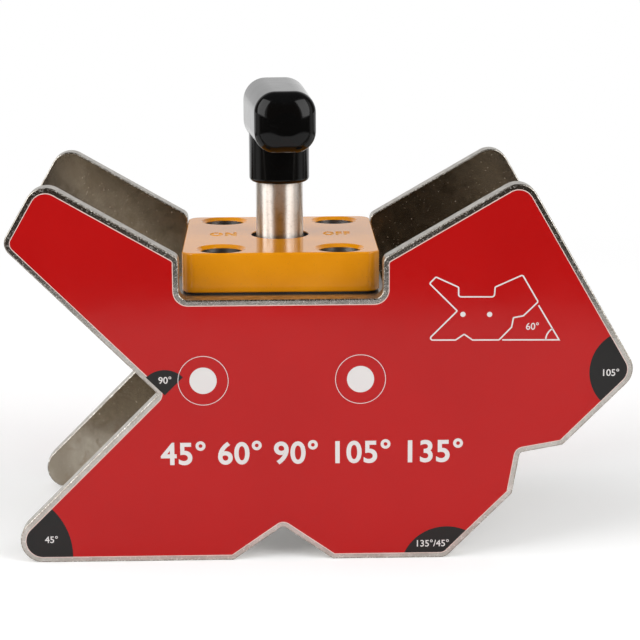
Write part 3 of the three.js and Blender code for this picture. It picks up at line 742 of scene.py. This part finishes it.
def plate_corners():
    """The plate from the front: X to the right, Y up."""
    toe = Vector((-TOE_REACH, 0))
    heel = Vector((HEEL_REACH, 0))
    notch_floor = FLANGE_BOTTOM - TOP_NOTCH_DROP
    notch_reach = FLANGE_WIDTH / 2 + TOP_NOTCH_SIDE_GAP
    notch_left = Vector((-notch_reach, notch_floor))
    notch_right = Vector((notch_reach, notch_floor))
    left_shoulder = Vector((-notch_reach, notch_floor + TOP_NOTCH_DEPTH))
    horn_height = left_shoulder.y + (LEFT_HORN_REACH - notch_reach) * tan(PLATE_TOP_ANGLE)
    left_horn = Vector((-LEFT_HORN_REACH, horn_height))
    right_horn = Vector((LEFT_HORN_REACH + RIGHT_HORN_EXTRA, horn_height))
    nose = meet(heel, PLATE_FLANK_ANGLE, right_horn, pi - PLATE_SIDE_ANGLE)
    right_shoulder = meet(right_horn, PLATE_TOP_ANGLE, notch_right, pi / 2)
    vee = meet(toe, PLATE_FLANK_ANGLE, Vector((0, VEE_HEIGHT)), 0)
    cheek = meet(vee, pi - PLATE_FLANK_ANGLE, left_horn, PLATE_SIDE_ANGLE)
    down_flank = (heel - nose).normalized()
    flank_middle = (heel + nose) / 2 + down_flank * FLANK_NOTCH_SHIFT
    return [
        Corner(toe, TOE_RADIUS),
        *notch(Vector((0, 0)), 0, FOOT_NOTCH_DEPTH),
        Corner(heel, HEEL_RADIUS),
        *notch(flank_middle, PLATE_FLANK_ANGLE, FLANK_NOTCH_DEPTH),
        Corner(nose, NOSE_RADIUS),
        Corner(right_horn, HORN_RADIUS),
        Corner(right_shoulder, SHOULDER_RADIUS),
        Corner(notch_right, TOP_NOTCH_RADIUS),
        Corner(notch_left, TOP_NOTCH_RADIUS),
        Corner(left_shoulder, SHOULDER_RADIUS),
        Corner(left_horn, HORN_RADIUS),
        Corner(cheek, CHEEK_RADIUS),
        Corner(vee, NOTCH_RADIUS),
    ]


def side_corners(side):
    """The outline as seen from outside the front or the back."""
    corners = plate_corners()
    if side < 0:
        return corners
    return [Corner(Vector((-at.x, at.y)), radius) for at, radius in reversed(corners)]


def side_place(side):
    """From a side's drawing, X right, Y up and Z out of the plate's face, to the row frame."""
    right = Vector((-side, 0, 0))
    up = Vector((0, 0, 1))
    out = Vector((0, side, 0))
    turn = Matrix((right, up, out)).transposed().to_4x4()
    return Matrix.Translation(AXIS + out * PLATE_OUTER) @ turn


def at_axis(piece):
    return shifted(piece, AXIS.x)


# Plates

def plate(side_name):
    side = SIDES[side_name]
    loops = edged_loops(side_corners(side), -PLATE_THICKNESS, 0, PLATE_EDGE)
    row_slots = [2] * EDGE_STEPS + [1] + [2] * EDGE_STEPS
    materials = [NICKEL_FACE, NICKEL_EDGE, NICKEL_RIM, NICKEL_MARGIN]
    piece = loft(f"{side_name}_plate_fine", loops, materials, row_slots, last_cap=3)
    through = -PLATE_THICKNESS - OVERRUN
    sunk_profile = [
        (0, OVERRUN), (SUNK_MOUTH, OVERRUN), (SUNK_MOUTH, -SUNK_DROP), (SHANK_HOLE, -SUNK_DROP - SUNK_HEAD),
        (SHANK_HOLE, through), (0, through),
    ]
    tools = []
    for hand in HANDS.values():
        tools.append(shifted(turned("hole", sunk_profile, [NICKEL_EDGE]), hand * SUNK_REACH, SUNK_HEIGHT))
        dowel_hole = rod("hole", DOWEL_HOLE, OVERRUN, through, NICKEL_EDGE)
        tools.append(shifted(dowel_hole, hand * DOWEL_REACH, DOWEL_HEIGHT))
    cut(piece, tools)
    moved(piece, side_place(side))
    finished(piece, "body", "nickel_plate", f"{side_name}_plate")


# Labels

def disc_loop(x, y, radius, steps=ROUND_STEPS):
    return arc(x, y, radius, spread(0, 2 * pi, steps)[:-1])


def band(name, outer, inner, bottom, top, ink_material):
    """A closed strip between two loops with equal numbers of points."""
    count = len(outer)
    rings = [(outer, bottom), (outer, top), (inner, top), (inner, bottom)]
    points = [(x, y, z) for loop, z in rings for x, y in loop]
    faces = []
    for row in range(len(rings)):
        faces += strip(row * count, (row + 1) % len(rings) * count, count)
    return solid(name, points, faces, [ink_material])


def stroke(name, line, width, bottom, top, ink_material):
    """An open line of the given width with mitred bends."""
    line = [Vector(point) for point in line]
    left = []
    right = []
    for index, point in enumerate(line):
        before = (point - line[index - 1]).normalized() if index else None
        after = (line[index + 1] - point).normalized() if index + 1 < len(line) else None
        along = ((before or after) + (after or before)).normalized()
        across = Vector((-along.y, along.x))
        lean = across.dot(Vector((-(after or before).y, (after or before).x)))
        left.append(point + across * (width / 2 / lean))
        right.append(point - across * (width / 2 / lean))
    return prism(name, left + right[::-1], bottom, top, ink_material)


CAP_SHARE = 0.72  # a capital's height in the built-in font, for a size of 1
TEXT_STEPS = 6


def words(name, text, cap_height, bottom, top, ink_material, weight=0.0, swell=0.0, spacing=1.0):
    """Upright text in a drawing's plane, as a body, centred on its own width, standing on Y 0. In shares
    of a capital's height, weight moves the strokes' outline out, and swell gives them a wedge-shaped rim,
    which leaves the digits' small openings open."""
    curve = bpy.data.curves.new(name, "FONT")
    curve.body = text
    curve.size = cap_height / CAP_SHARE
    curve.extrude = 0 if swell else (top - bottom) / 2
    curve.offset = weight * cap_height
    curve.bevel_depth = swell * cap_height
    curve.bevel_resolution = 0
    curve.space_character = spacing
    curve.resolution_u = TEXT_STEPS
    holder = placed(name, curve)
    mesh = shown_mesh(holder)
    bpy.data.objects.remove(holder)
    tidy(mesh)
    if swell:
        mesh.transform(Matrix.Diagonal((1, 1, (top - bottom) / 2 / (swell * cap_height), 1)))
    reaches = [vertex.co.x for vertex in mesh.vertices]
    middle = (min(reaches) + max(reaches)) / 2
    mesh.transform(Matrix.Translation((-middle, 0, (bottom + top) / 2)))
    mesh.materials.clear()
    return linked(name, mesh, [ink_material])


def merged(name, pieces):
    """One object from several, with the first one's materials."""
    work = bmesh.new()
    for piece in pieces:
        work.from_mesh(piece.data)
    mesh = bpy.data.meshes.new(name)
    work.to_mesh(mesh)
    work.free()
    materials = list(pieces[0].data.materials)
    for piece in pieces:
        bpy.data.objects.remove(piece)
    return linked(name, mesh, materials)


# Places of the print in millimetres. The diagram has a table of its own because it isn't quite the plate.
DIAGRAM_OUTLINE = (  # x, height and rounding of each corner
    (41.3, 64.65, 0.6), (49.2, 64.6, 0.3), (51.6, 66.25, 0.3), (54.0, 64.55, 0.3), (61.5, 64.5, 0.3),
    (65.0, 68.15, 0.3), (65.5, 70.9, 0.3), (68.3, 71.4, 0.3), (72.4, 75.4, 0.5), (67.9, 83.15, 0.6),
    (60.2, 79.75, 0.4), (60.0, 76.95, 0.75), (49.95, 77.05, 0.75), (49.9, 79.8, 0.4), (43.5, 82.8, 0.5),
    (41.7, 80.95, 0.45), (49.6, 73.0, 0.3),
)
DIAGRAM_DOTS = ((51.2, 72.0), (58.75, 71.9))
DIAGRAM_SIDES = ((62.4, 64.5), (78.55, 64.35), (72.55, 74.4))  # of the 60 degree corner beside the outline


def diagram(hand):
    """The small outline drawing of the plate with its 60 degree corner, as white lines."""
    def drawn(x, y):
        return Vector((hand * x * MM, y * MM))

    corners = [Corner(drawn(x, y), radius * MM) for x, y, radius in DIAGRAM_OUTLINE]
    if hand < 0:
        corners.reverse()
    half = DIAGRAM_LINE / 2
    outer = rounded(inset(corners, -half))
    inner = rounded(inset(corners, half))
    pieces = [band("line", outer, inner, *WHITE_PRINT)]
    for place in DIAGRAM_DOTS:
        dot = disc_loop(*drawn(*place), DIAGRAM_DOT, SMALL_ROUND_STEPS)
        pieces.append(prism("dot", dot, *WHITE_PRINT))
    sides = [drawn(*place) for place in DIAGRAM_SIDES]
    angles = spread(pi, pi - PLATE_SIDE_ANGLE, ARC_STEPS)
    if hand < 0:
        angles = [pi - angle for angle in angles]
    for line in (sides, arc(*sides[1], DIAGRAM_ARC, angles)):
        pieces.append(stroke("line", line, DIAGRAM_LINE, *WHITE_PRINT))
    return pieces


SECTORS = ((-80.2, 2.3, 19.7), (47.0, -3.7, 13.2), (99.8, 54.9, 12.4))  # x, height and radius
VEE_FAN = (-33.2, 49.35, 7.4)
NOTES = (
    ("45°", -66.6, 6.0), ("135°/45°", 43.2, 3.5), ("105°", 93.6, 53.7), ("90°", -33.1, 52.8),
    ("60°", 70.9, 67.4),
)
BIG_TEXT = "45° 60° 90° 105° 135°"


def label(side_name):
    side = SIDES[side_name]
    hand = -side
    edge = inset(side_corners(side), LABEL_MARGIN)
    field = rounded(inset(edge, FILM_BORDER))
    sheet = prism(f"{side_name}_label_film", rounded(edge), 0, FILM_TOP, FILM)
    red = prism(f"{side_name}_label_red", field, FILM_TOP, RED_TOP, RED_INK)

    black_pieces = []
    for x, y, radius in SECTORS:
        blob = prism("sector", disc_loop(hand * x * MM, y * MM, radius * MM), *BLACK_PRINT)
        window = prism("window", field, RED_TOP - INK, BLACK_TOP + INK, BLACK_INK)
        black_pieces.append(combine(blob, [window], "INTERSECT"))
    x, y, radius = VEE_FAN
    centre = (hand * x * MM, y * MM)
    fan = arc(*centre, radius * MM, spread(PLATE_FLANK_ANGLE, pi - PLATE_FLANK_ANGLE, FAN_STEPS))
    black_pieces.append(prism("fan", [centre, *fan], *BLACK_PRINT))
    black = merged(f"{side_name}_label_black", black_pieces)

    white_pieces = diagram(hand)
    for dot_hand in HANDS.values():
        x = dot_hand * DOT_REACH
        white_pieces.append(prism("dot", disc_loop(x, DOT_HEIGHT, DOT_RADIUS), *WHITE_PRINT))
        outer = disc_loop(x, DOT_HEIGHT, RING_RADIUS + RING_LINE / 2)
        inner = disc_loop(x, DOT_HEIGHT, RING_RADIUS - RING_LINE / 2)
        white_pieces.append(band("ring", outer, inner, *WHITE_PRINT))
    for text, x, y in NOTES:
        note = words("note", text, NOTE_CAP, *WHITE_PRINT, swell=NOTE_SWELL)
        white_pieces.append(shifted(note, hand * x * MM, y * MM))
    title = words("title", BIG_TEXT, BIG_CAP, *WHITE_PRINT, swell=BIG_SWELL, spacing=BIG_SPACING)
    white_pieces.append(shifted(title, hand * (BIG_LEFT + BIG_RIGHT) / 2, BIG_BASE))
    white = merged(f"{side_name}_label_white", white_pieces)

    for piece in (sheet, red, black, white):
        moved(piece, side_place(side))
    finished(sheet, "body", "label", f"{side_name}_label")
    for piece in (red, black, white):
        finished(piece, "body", "label")


# Flange

def screw_places():
    reach_x = FLANGE_WIDTH / 2 - SCREW_SIDE_INSET
    reach_y = FLANGE_DEPTH / 2 - SCREW_LAND - COUNTERBORE_RADIUS - COUNTERBORE_LIP
    return [(-reach_x, -reach_y), (reach_x, -reach_y), (reach_x, reach_y), (-reach_x, reach_y)]


def lip(radius, lip_radius, top):
    """A hole's rounded rim: (radius, height) from the top face into the hole."""
    reach = radius + lip_radius
    return [(reach - lip_radius * sin(turn), top - lip_radius * (1 - cos(turn))) for turn in quarter()]


LIP_ROUNDING = ((0.7, 0), (0.2, 0.12), (-0.3, 0.42))  # shares of the edge, out and down


def chamfered_lip(radius, width, depth, top, edge):
    """A hole's rim cut slanting, with its upper edge rounded: (radius, height) from the top down."""
    upper = [(radius + width + edge * out, top - edge * down) for out, down in LIP_ROUNDING]
    lower = [(radius + edge * 0.2, top - depth + edge * 0.2), (radius, top - depth - edge * 0.4)]
    return upper + lower


def counterbore():
    floor = FLANGE_BOTTOM + FLANGE_FLOOR
    below = FLANGE_BOTTOM - OVERRUN
    reach = COUNTERBORE_RADIUS + COUNTERBORE_LIP + LIP_EDGE * LIP_ROUNDING[0][0]
    rim = [(0, FLANGE_TOP + OVERRUN), (reach, FLANGE_TOP + OVERRUN)]
    rim += chamfered_lip(COUNTERBORE_RADIUS, COUNTERBORE_LIP, COUNTERBORE_LIP_DEPTH, FLANGE_TOP, LIP_EDGE)
    hole = [(COUNTERBORE_RADIUS, floor), (SHANK_HOLE, floor), (SHANK_HOLE, below), (0, below)]
    row_slots = [0] * (len(rim) - 1) + [1] * len(hole)
    return turned("counterbore", rim + hole, [YELLOW_PAINT, BARE_STEEL], row_slots=row_slots)


def stop_groove():
    half_end = atan2(STOP_GROOVE_HALF, STOP_GROOVE_REACH) + pi / 2
    angles = spread(-pi / 2 - half_end, -pi / 2 + half_end, GROOVE_STEPS)
    loop = arc(0, 0, STOP_GROOVE_REACH + STOP_GROOVE_HALF, angles)
    loop += arc(0, 0, STOP_GROOVE_REACH - STOP_GROOVE_HALF, reversed(angles))
    return prism("groove", loop, SPIGOT_BOTTOM - OVERRUN, SPIGOT_BOTTOM + STOP_GROOVE_DEPTH, BARE_STEEL)


def stamped(text, x):
    """A mark of narrow letters sunk in the flange's top, read from the front, in lighter paint that is
    painted light against the shade of the sunk letters.
    """
    mark = words("mark", text, MARK_SIZE, 0, 2 * MARK_DEPTH, MARK_PAINT_PAINTED_LIGHT, MARK_WEIGHT, spacing=MARK_SPACING)
    width = 2 * max(vertex.co.x for vertex in mark.data.vertices)
    moved(mark, Matrix.Diagonal((MARK_WIDTH / width, 1, 1, 1)))
    return shifted(mark, x, -MARK_SIZE / 2, FLANGE_TOP - MARK_DEPTH)


def flange():
    corners = rectangle(FLANGE_WIDTH, FLANGE_DEPTH, FLANGE_CORNER)
    loops = edged_loops(corners, FLANGE_BOTTOM, FLANGE_TOP, FLANGE_EDGE)
    piece = loft("flange_fine", loops, [YELLOW_PAINT])
    middle = (FLANGE_BOTTOM + FLANGE_TOP) / 2
    joined(piece, [rod("spigot", SPIGOT_RADIUS, SPIGOT_BOTTOM, middle, YELLOW_PAINT)])
    rim = [(0, FLANGE_TOP + OVERRUN), (STEM_RECESS_RADIUS + STEM_RECESS_LIP, FLANGE_TOP + OVERRUN)]
    rim += lip(STEM_RECESS_RADIUS, STEM_RECESS_LIP, FLANGE_TOP)
    hole = [
        (STEM_RECESS_RADIUS, BUSHING_TOP), (BUSHING_HOLE, BUSHING_TOP),
        (BUSHING_HOLE, SPIGOT_BOTTOM - OVERRUN), (0, SPIGOT_BOTTOM - OVERRUN),
    ]
    row_slots = [0] * (len(rim) - 1) + [1] * len(hole)
    stem_hole = turned("stem_hole", rim + hole, [YELLOW_PAINT, BARE_STEEL], row_slots=row_slots)
    tools = [stem_hole, stop_groove()]
    tools += [shifted(counterbore(), x, y) for x, y in screw_places()]
    tools += [stamped("ON", -MARK_REACH), stamped("OFF", MARK_REACH)]
    cut(piece, tools)
    at_axis(piece)
    finished(piece, "body", "yellow_paint", "flange")


def knurled(angle, radius, height):
    """The cap screw's knurled side: fine teeth on the head's straight part."""
    knurling = KNURL_BOTTOM - KNURL_FADE < height < KNURL_TOP + KNURL_FADE
    if radius < HEAD_RADIUS - CLEAN_DISTANCE or not knurling:
        return radius
    return radius - KNURL_DEPTH * (1 - cos(KNURLS * angle)) / 2


def cap_screw(number, x, y):
    inner = HEAD_RADIUS - HEAD_EDGE
    corner = [(inner + HEAD_EDGE * sin(turn), -HEAD_EDGE * (1 - cos(turn))) for turn in quarter()]
    side = [(HEAD_RADIUS, height) for height in spread(KNURL_TOP, KNURL_BOTTOM, KNURL_ROWS)]
    profile = [
        (0, 0), *corner, *side, (HEAD_RADIUS, -HEAD_HEIGHT), (SHANK_RADIUS, -HEAD_HEIGHT),
        (SHANK_RADIUS, SCREW_POINT - SCREW_LENGTH), (SHANK_RADIUS - SCREW_POINT, -SCREW_LENGTH),
        (0, -SCREW_LENGTH),
    ]
    piece = turned(f"flange_screw_{number}_fine", profile, [SCREW_STEEL], KNURLS * KNURL_STEPS, knurled)
    reach = SOCKET_WIDTH / 2 / cos(pi / 6)
    hexagon = [
        (0, OVERRUN), (reach + SOCKET_MOUTH, OVERRUN), (reach + SOCKET_MOUTH, 0), (reach, -SOCKET_MOUTH),
        (reach, -SOCKET_DEPTH), (0, -SOCKET_DEPTH - SOCKET_POINT),
    ]
    cut(piece, [turned("socket", hexagon, [SCREW_STEEL], 6)])
    shifted(piece, x, y, FLANGE_TOP - HEAD_RECESS)
    at_axis(piece)
    finished(piece, "body", "screw_steel", f"flange_screw_{number}")


# Turning pieces, made straight ahead and turned to where the handle stands

def with_handle(piece):
    moved(piece, Matrix.Translation(AXIS) @ Matrix.Rotation(HANDLE_TURN, 4, "Z"))
    return piece


def stem():
    carrier_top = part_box("rotor_carrier")[1].z
    collar_top = carrier_top + COLLAR_HEIGHT
    top = STEM_HIGH.z
    profile = [
        (0, carrier_top), (COLLAR_RADIUS - STEM_CHAMFER, carrier_top),
        (COLLAR_RADIUS, carrier_top + STEM_CHAMFER), (COLLAR_RADIUS, collar_top - STEM_CHAMFER),
        (COLLAR_RADIUS - STEM_CHAMFER, collar_top), (STEM_RADIUS, collar_top),
        (STEM_RADIUS, CORE_BOTTOM - STEM_CHAMFER), (STEM_RADIUS - STEM_CHAMFER, CORE_BOTTOM),
        (STEM_NECK, CORE_BOTTOM), (STEM_NECK, top - STEM_CHAMFER), (STEM_NECK - STEM_CHAMFER, top),
        (0, top),
    ]
    piece = turned("stem_fine", profile, [TURNED_STEEL])
    half = TANG_WIDTH / 2
    tang_top = carrier_top + COLLAR_HEIGHT / 2
    joined(piece, [bar("tang", (-half, -half, STEM_LOW.z), (half, half, tang_top), TURNED_STEEL)])
    pin = rod("pin_hole", PIN_HOLE, -CORE_WIDTH, CORE_WIDTH, TURNED_STEEL, SMALL_ROUND_STEPS)
    moved(pin, Matrix.Translation((0, 0, ARM_MIDDLE)) @ Matrix.Rotation(pi / 2, 4, "Y"))
    cut(piece, [pin])
    finished(with_handle(piece), "rotor", "satin_steel", "stem")


def arm_loops():
    """Rounded squares from the tail to the tip with rounded ends, tapered about the middle line."""
    length = ARM_FRONT + ARM_BACK
    turns = quarter(ARM_STEPS)
    levels = [(ARM_END_INSET * (1 - sin(turn)), ARM_END * (1 - cos(turn))) for turn in turns]
    levels += [(margin, length - along) for margin, along in reversed(levels)]
    roundest = ARM_TAIL / 2 * ARM_ROUNDEST_SHARE
    loops = []
    for margin, along in levels:
        radius = ARM_CORNER + (roundest - ARM_CORNER) * (margin / ARM_END_INSET) ** ARM_ROUNDING_POWER
        outline = rounded(rectangle(ARM_TAIL, ARM_TAIL, radius))
        taper = 1 + (ARM_TIP / ARM_TAIL - 1) * along / length
        share = 1 - margin / (ARM_TAIL / 2)
        loop = [(x * share * taper, ARM_BACK - along, ARM_MIDDLE + z * share * taper) for x, z in outline]
        loops.append(loop)
    return loops


def grip():
    piece = loft("handle_grip_fine", arm_loops(), [BLACK_PLASTIC])
    turns = quarter(SLEEVE_STEPS)
    inner = SLEEVE_RADIUS - SLEEVE_EDGE
    edge = [(inner + SLEEVE_EDGE * sin(t), SLEEVE_BOTTOM + SLEEVE_EDGE * (1 - cos(t))) for t in turns]
    profile = [(0, SLEEVE_BOTTOM), *edge, (SLEEVE_RADIUS, ARM_MIDDLE), (0, ARM_MIDDLE)]
    joined(piece, [turned("sleeve", profile, [BLACK_PLASTIC])])
    half = CORE_WIDTH / 2 + SEAT_GAP
    end = CORE_COVER - SEAT_GAP
    low = (-half, end - ARM_FRONT, CORE_BOTTOM - SEAT_GAP)
    high = (half, ARM_BACK - end, CORE_TOP + SEAT_GAP)
    cavity = bar("cavity", low, high, BLACK_PLASTIC)
    hole = rod("hole", STEM_RADIUS + SEAT_GAP, SLEEVE_BOTTOM - OVERRUN, CORE_BOTTOM, BLACK_PLASTIC)
    cut(piece, [cavity, hole])
    finished(with_handle(piece), "rotor", "black_plastic", "handle_grip")


# Carried-over nodes, with their edges broken

def softened(node, body, slot, surface, width):
    """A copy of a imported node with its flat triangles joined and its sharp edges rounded."""
    work = bmesh.new()
    work.from_mesh(frame["nodes"][node].data)
    bmesh.ops.remove_doubles(work, verts=work.verts, dist=CLEAN_DISTANCE * 10)
    bmesh.ops.dissolve_limit(work, angle_limit=FLAT_ANGLE, verts=work.verts, edges=work.edges)
    sharp = [edge for edge in work.edges if edge.is_manifold and edge.calc_face_angle() > SHARP_ANGLE]
    bmesh.ops.bevel(
        work, geom=sharp, offset=width, offset_type="OFFSET", segments=2, profile=0.5, affect="EDGES",
        clamp_overlap=True,
    )
    mesh = bpy.data.meshes.new(f"{node}_fine")
    work.to_mesh(mesh)
    work.free()
    mesh.materials.clear()
    piece = linked(f"{node}_fine", mesh, [surface])
    finished(piece, body, slot, node)


def carried_nodes():
    corners = [f"{side}_{hand}" for side in SIDES for hand in HANDS]
    body = (
        (["front_pole", "back_pole"], "pole_steel", POLE_STEEL, 0.4 * MM),
        (["left_spacer", "right_spacer"], "brass", BRASS, 0.25 * MM),
        (["bottom_cover"], "satin_steel", SATIN_STEEL, 0.3 * MM),
        ([f"cover_screw_{number}" for number in (1, 2, 3, 4)], "screw_steel", SCREW_STEEL, 0.12 * MM),
        ([f"plate_screw_{corner}" for corner in corners], "screw_steel", SCREW_STEEL, 0.15 * MM),
        ([f"dowel_{corner}" for corner in corners], "satin_steel", SATIN_STEEL, 0.3 * MM),
        (["fixed_magnet"], "magnet", MAGNET, 0.2 * MM),
        (["thrust_washer"], "brass", BRASS, 0.2 * MM),
        (["stem_bushing"], "bronze", BRONZE, 0.2 * MM),
        (["stem_seal"], "black_rubber", RUBBER, 0.3 * MM),
        (["flange_gasket"], "black_rubber", RUBBER, 0.15 * MM),
    )
    rotor = (
        (["rotor_magnet"], "magnet", MAGNET, 0.2 * MM),
        (["rotor_carrier", "handle_core"], "pole_steel", POLE_STEEL, 0.3 * MM),
        (["drive_pin_left", "drive_pin_right"], "satin_steel", SATIN_STEEL, 0.3 * MM),
        (["stop_pin", "handle_pin"], "satin_steel", SATIN_STEEL, 0.3 * MM),
    )
    for body_name, groups in (("body", body), ("rotor", rotor)):
        for nodes, slot, surface, width in groups:
            for node in nodes:
                softened(node, body_name, slot, surface, width)


# Studio

# The mirrored room by the bearing off the back, 0, to the front, 1, above and below the table's edge
BACK_WALL = ((0.0, grey(0.86)), (0.22, grey(0.84)), (0.32, (0.13, 0.115, 0.10)))
ROOM = (
    *BACK_WALL, (0.44, (0.13, 0.115, 0.10)), (0.49, (0.80, 0.79, 0.77)), (0.80, (0.80, 0.79, 0.77)),
    (0.84, (0.075, 0.046, 0.024)), (1.0, (0.058, 0.036, 0.018)),
)
LOW_ROOM = (
    *BACK_WALL, (0.42, (0.13, 0.115, 0.10)), (0.46, (0.70, 0.69, 0.67)), (0.54, (0.70, 0.69, 0.67)),
    (0.60, (0.06, 0.048, 0.036)), (1.0, (0.036, 0.028, 0.02)),
)
OVERHEAD = (0.45, 0.85)  # rise of the view between which the room turns to its ceiling
CEILING = grey(0.14)
SOFT_LIGHT = 0.28
WHITE = (1, 1, 1, 1)
FLOOR_SIZE = 3.0
FLOOR_GLOW = 0.13
TABLE_END = (0.36, 0.43)  # distances between which a mirrored floor turns to room
SWEEP = (0.1, 0.5)  # and behind the part, between which the floor turns to plain white
LIGHT_TARGET = Vector((0, 0, 0.06))


def surroundings(add, parts, stops):
    """What the part mirrors of the room, by the bearing off +Y: white behind, dark in front."""
    bearing = add("Math", {0: parts["X"], 1: parts["Y"]}, operation="ARCTAN2").outputs[0]
    off_back = add("Math", {0: bearing}, operation="ABSOLUTE").outputs[0]
    ramp = add("ValToRGB", {"Fac": ranged(add, off_back, 0, pi)})
    set_stops(ramp.color_ramp, stops)
    return ramp.outputs["Color"]


def world():
    made = bpy.data.worlds.new("studio")
    bpy.context.scene.world = made
    made.use_nodes = True
    made.node_tree.nodes.clear()
    add = adder(made.node_tree)
    parts = add("SeparateXYZ", {"Vector": add("TexCoord").outputs["Generated"]}).outputs
    overhead = ranged(add, parts["Z"], *OVERHEAD)
    mirrored_light = blended(add, overhead, surroundings(add, parts, ROOM), CEILING)
    path = add("LightPath").outputs
    soft_light = add("Background", {"Color": WHITE, "Strength": SOFT_LIGHT})
    glossy_light = add("Background", {"Color": mirrored_light, "Strength": 1.0})
    backdrop = add("Background", {"Color": WHITE, "Strength": 1.0})
    light = mixed(add, path["Is Glossy Ray"], soft_light, glossy_light)
    seen = mixed(add, path["Is Camera Ray"], light, backdrop)
    add("OutputWorld", {"Surface": seen.outputs[0]})


def set_stops(ramp, stops):
    elements = ramp.elements
    elements.remove(elements[1])
    elements[0].position = stops[0][0]
    elements[0].color = rgba(stops[0][1])
    for place, colour in stops[1:]:
        elements.new(place).color = rgba(colour)


def floor():
    """A white table that ends in a white sweep behind the part and, in mirrors, in the room."""
    loop = [(x * FLOOR_SIZE, y * FLOOR_SIZE, 0) for x, y in ((-1, -1), (1, -1), (1, 1), (-1, 1))]
    mesh = bpy.data.meshes.new("floor")
    mesh.from_pydata(loop, [], [(0, 1, 2, 3)])
    made, add = tree_of("floor_white")
    tone = blended(add, grains(add, 300), grey(0.90), grey(0.93))
    near = add("BsdfDiffuse", {"Color": tone, "Roughness": 0.5})
    lit = add("AddShader", {0: near.outputs[0], 1: add("Emission", {"Strength": FLOOR_GLOW}).outputs[0]})
    where = add("TexCoord").outputs["Object"]
    place = add("SeparateXYZ", {"Vector": where}).outputs
    room = add("Emission", {"Color": surroundings(add, place, LOW_ROOM), "Strength": 1.0})
    distance = add("VectorMath", {0: where}, operation="LENGTH").outputs["Value"]
    table_end = ranged(add, distance, *TABLE_END)
    mirror_ray = add("LightPath").outputs["Is Glossy Ray"]
    mirrored_only = add("Math", {0: table_end, 1: mirror_ray}, operation="MULTIPLY").outputs[0]
    both = mixed(add, mirrored_only, lit, room)
    white = add("Emission", {"Color": WHITE, "Strength": 1.0})
    far = add("Math", {0: ranged(add, place["Y"], *SWEEP), 1: 2.0}, operation="POWER").outputs[0]
    add("OutputMaterial", {"Surface": mixed(add, far, both, white).outputs[0]})
    linked("floor", mesh, [made])


def softbox(name, place, size, power, mirrored_too=True):
    light = bpy.data.lights.new(name, "AREA")
    light.shape = "RECTANGLE"
    light.size, light.size_y = size
    light.energy = power
    holder = placed(name, light)
    holder.location = place
    holder.rotation_euler = (LIGHT_TARGET - Vector(place)).to_track_quat("-Z", "Y").to_euler()
    holder.visible_camera = False
    holder.visible_glossy = mirrored_too


def studio():
    world()
    floor()
    softbox("window_left", (-1.05, -0.46, 0.68), (1.25, 1.25), 14)
    softbox("window_right", (0.98, -0.72, 0.68), (0.95, 1.25), 11)
    softbox("top", (0.0, 0.25, 1.1), (1.2, 0.8), 2.5, mirrored_too=False)


def camera():
    lens = bpy.data.cameras.new("camera")
    lens.lens = CAMERA_LENS
    lens.sensor_width = CAMERA_SENSOR
    holder = placed("camera", lens)
    turn = Matrix.Rotation(-CAMERA_YAW, 4, "Z")
    turn = turn @ Matrix.Rotation(pi / 2 - CAMERA_PITCH, 4, "X") @ Matrix.Rotation(CAMERA_ROLL, 4, "Z")
    holder.matrix_world = Matrix.Translation(CAMERA_PLACE) @ turn
    bpy.context.scene.camera = holder


camera()
bpy.context.scene.view_settings.view_transform = "Standard"
studio()
for side_name in SIDES:
    plate(side_name)
    label(side_name)
flange()
for number, (x, y) in enumerate(screw_places()):
    cap_screw(number + 1, x, y)
stem()
grip()
carried_nodes()
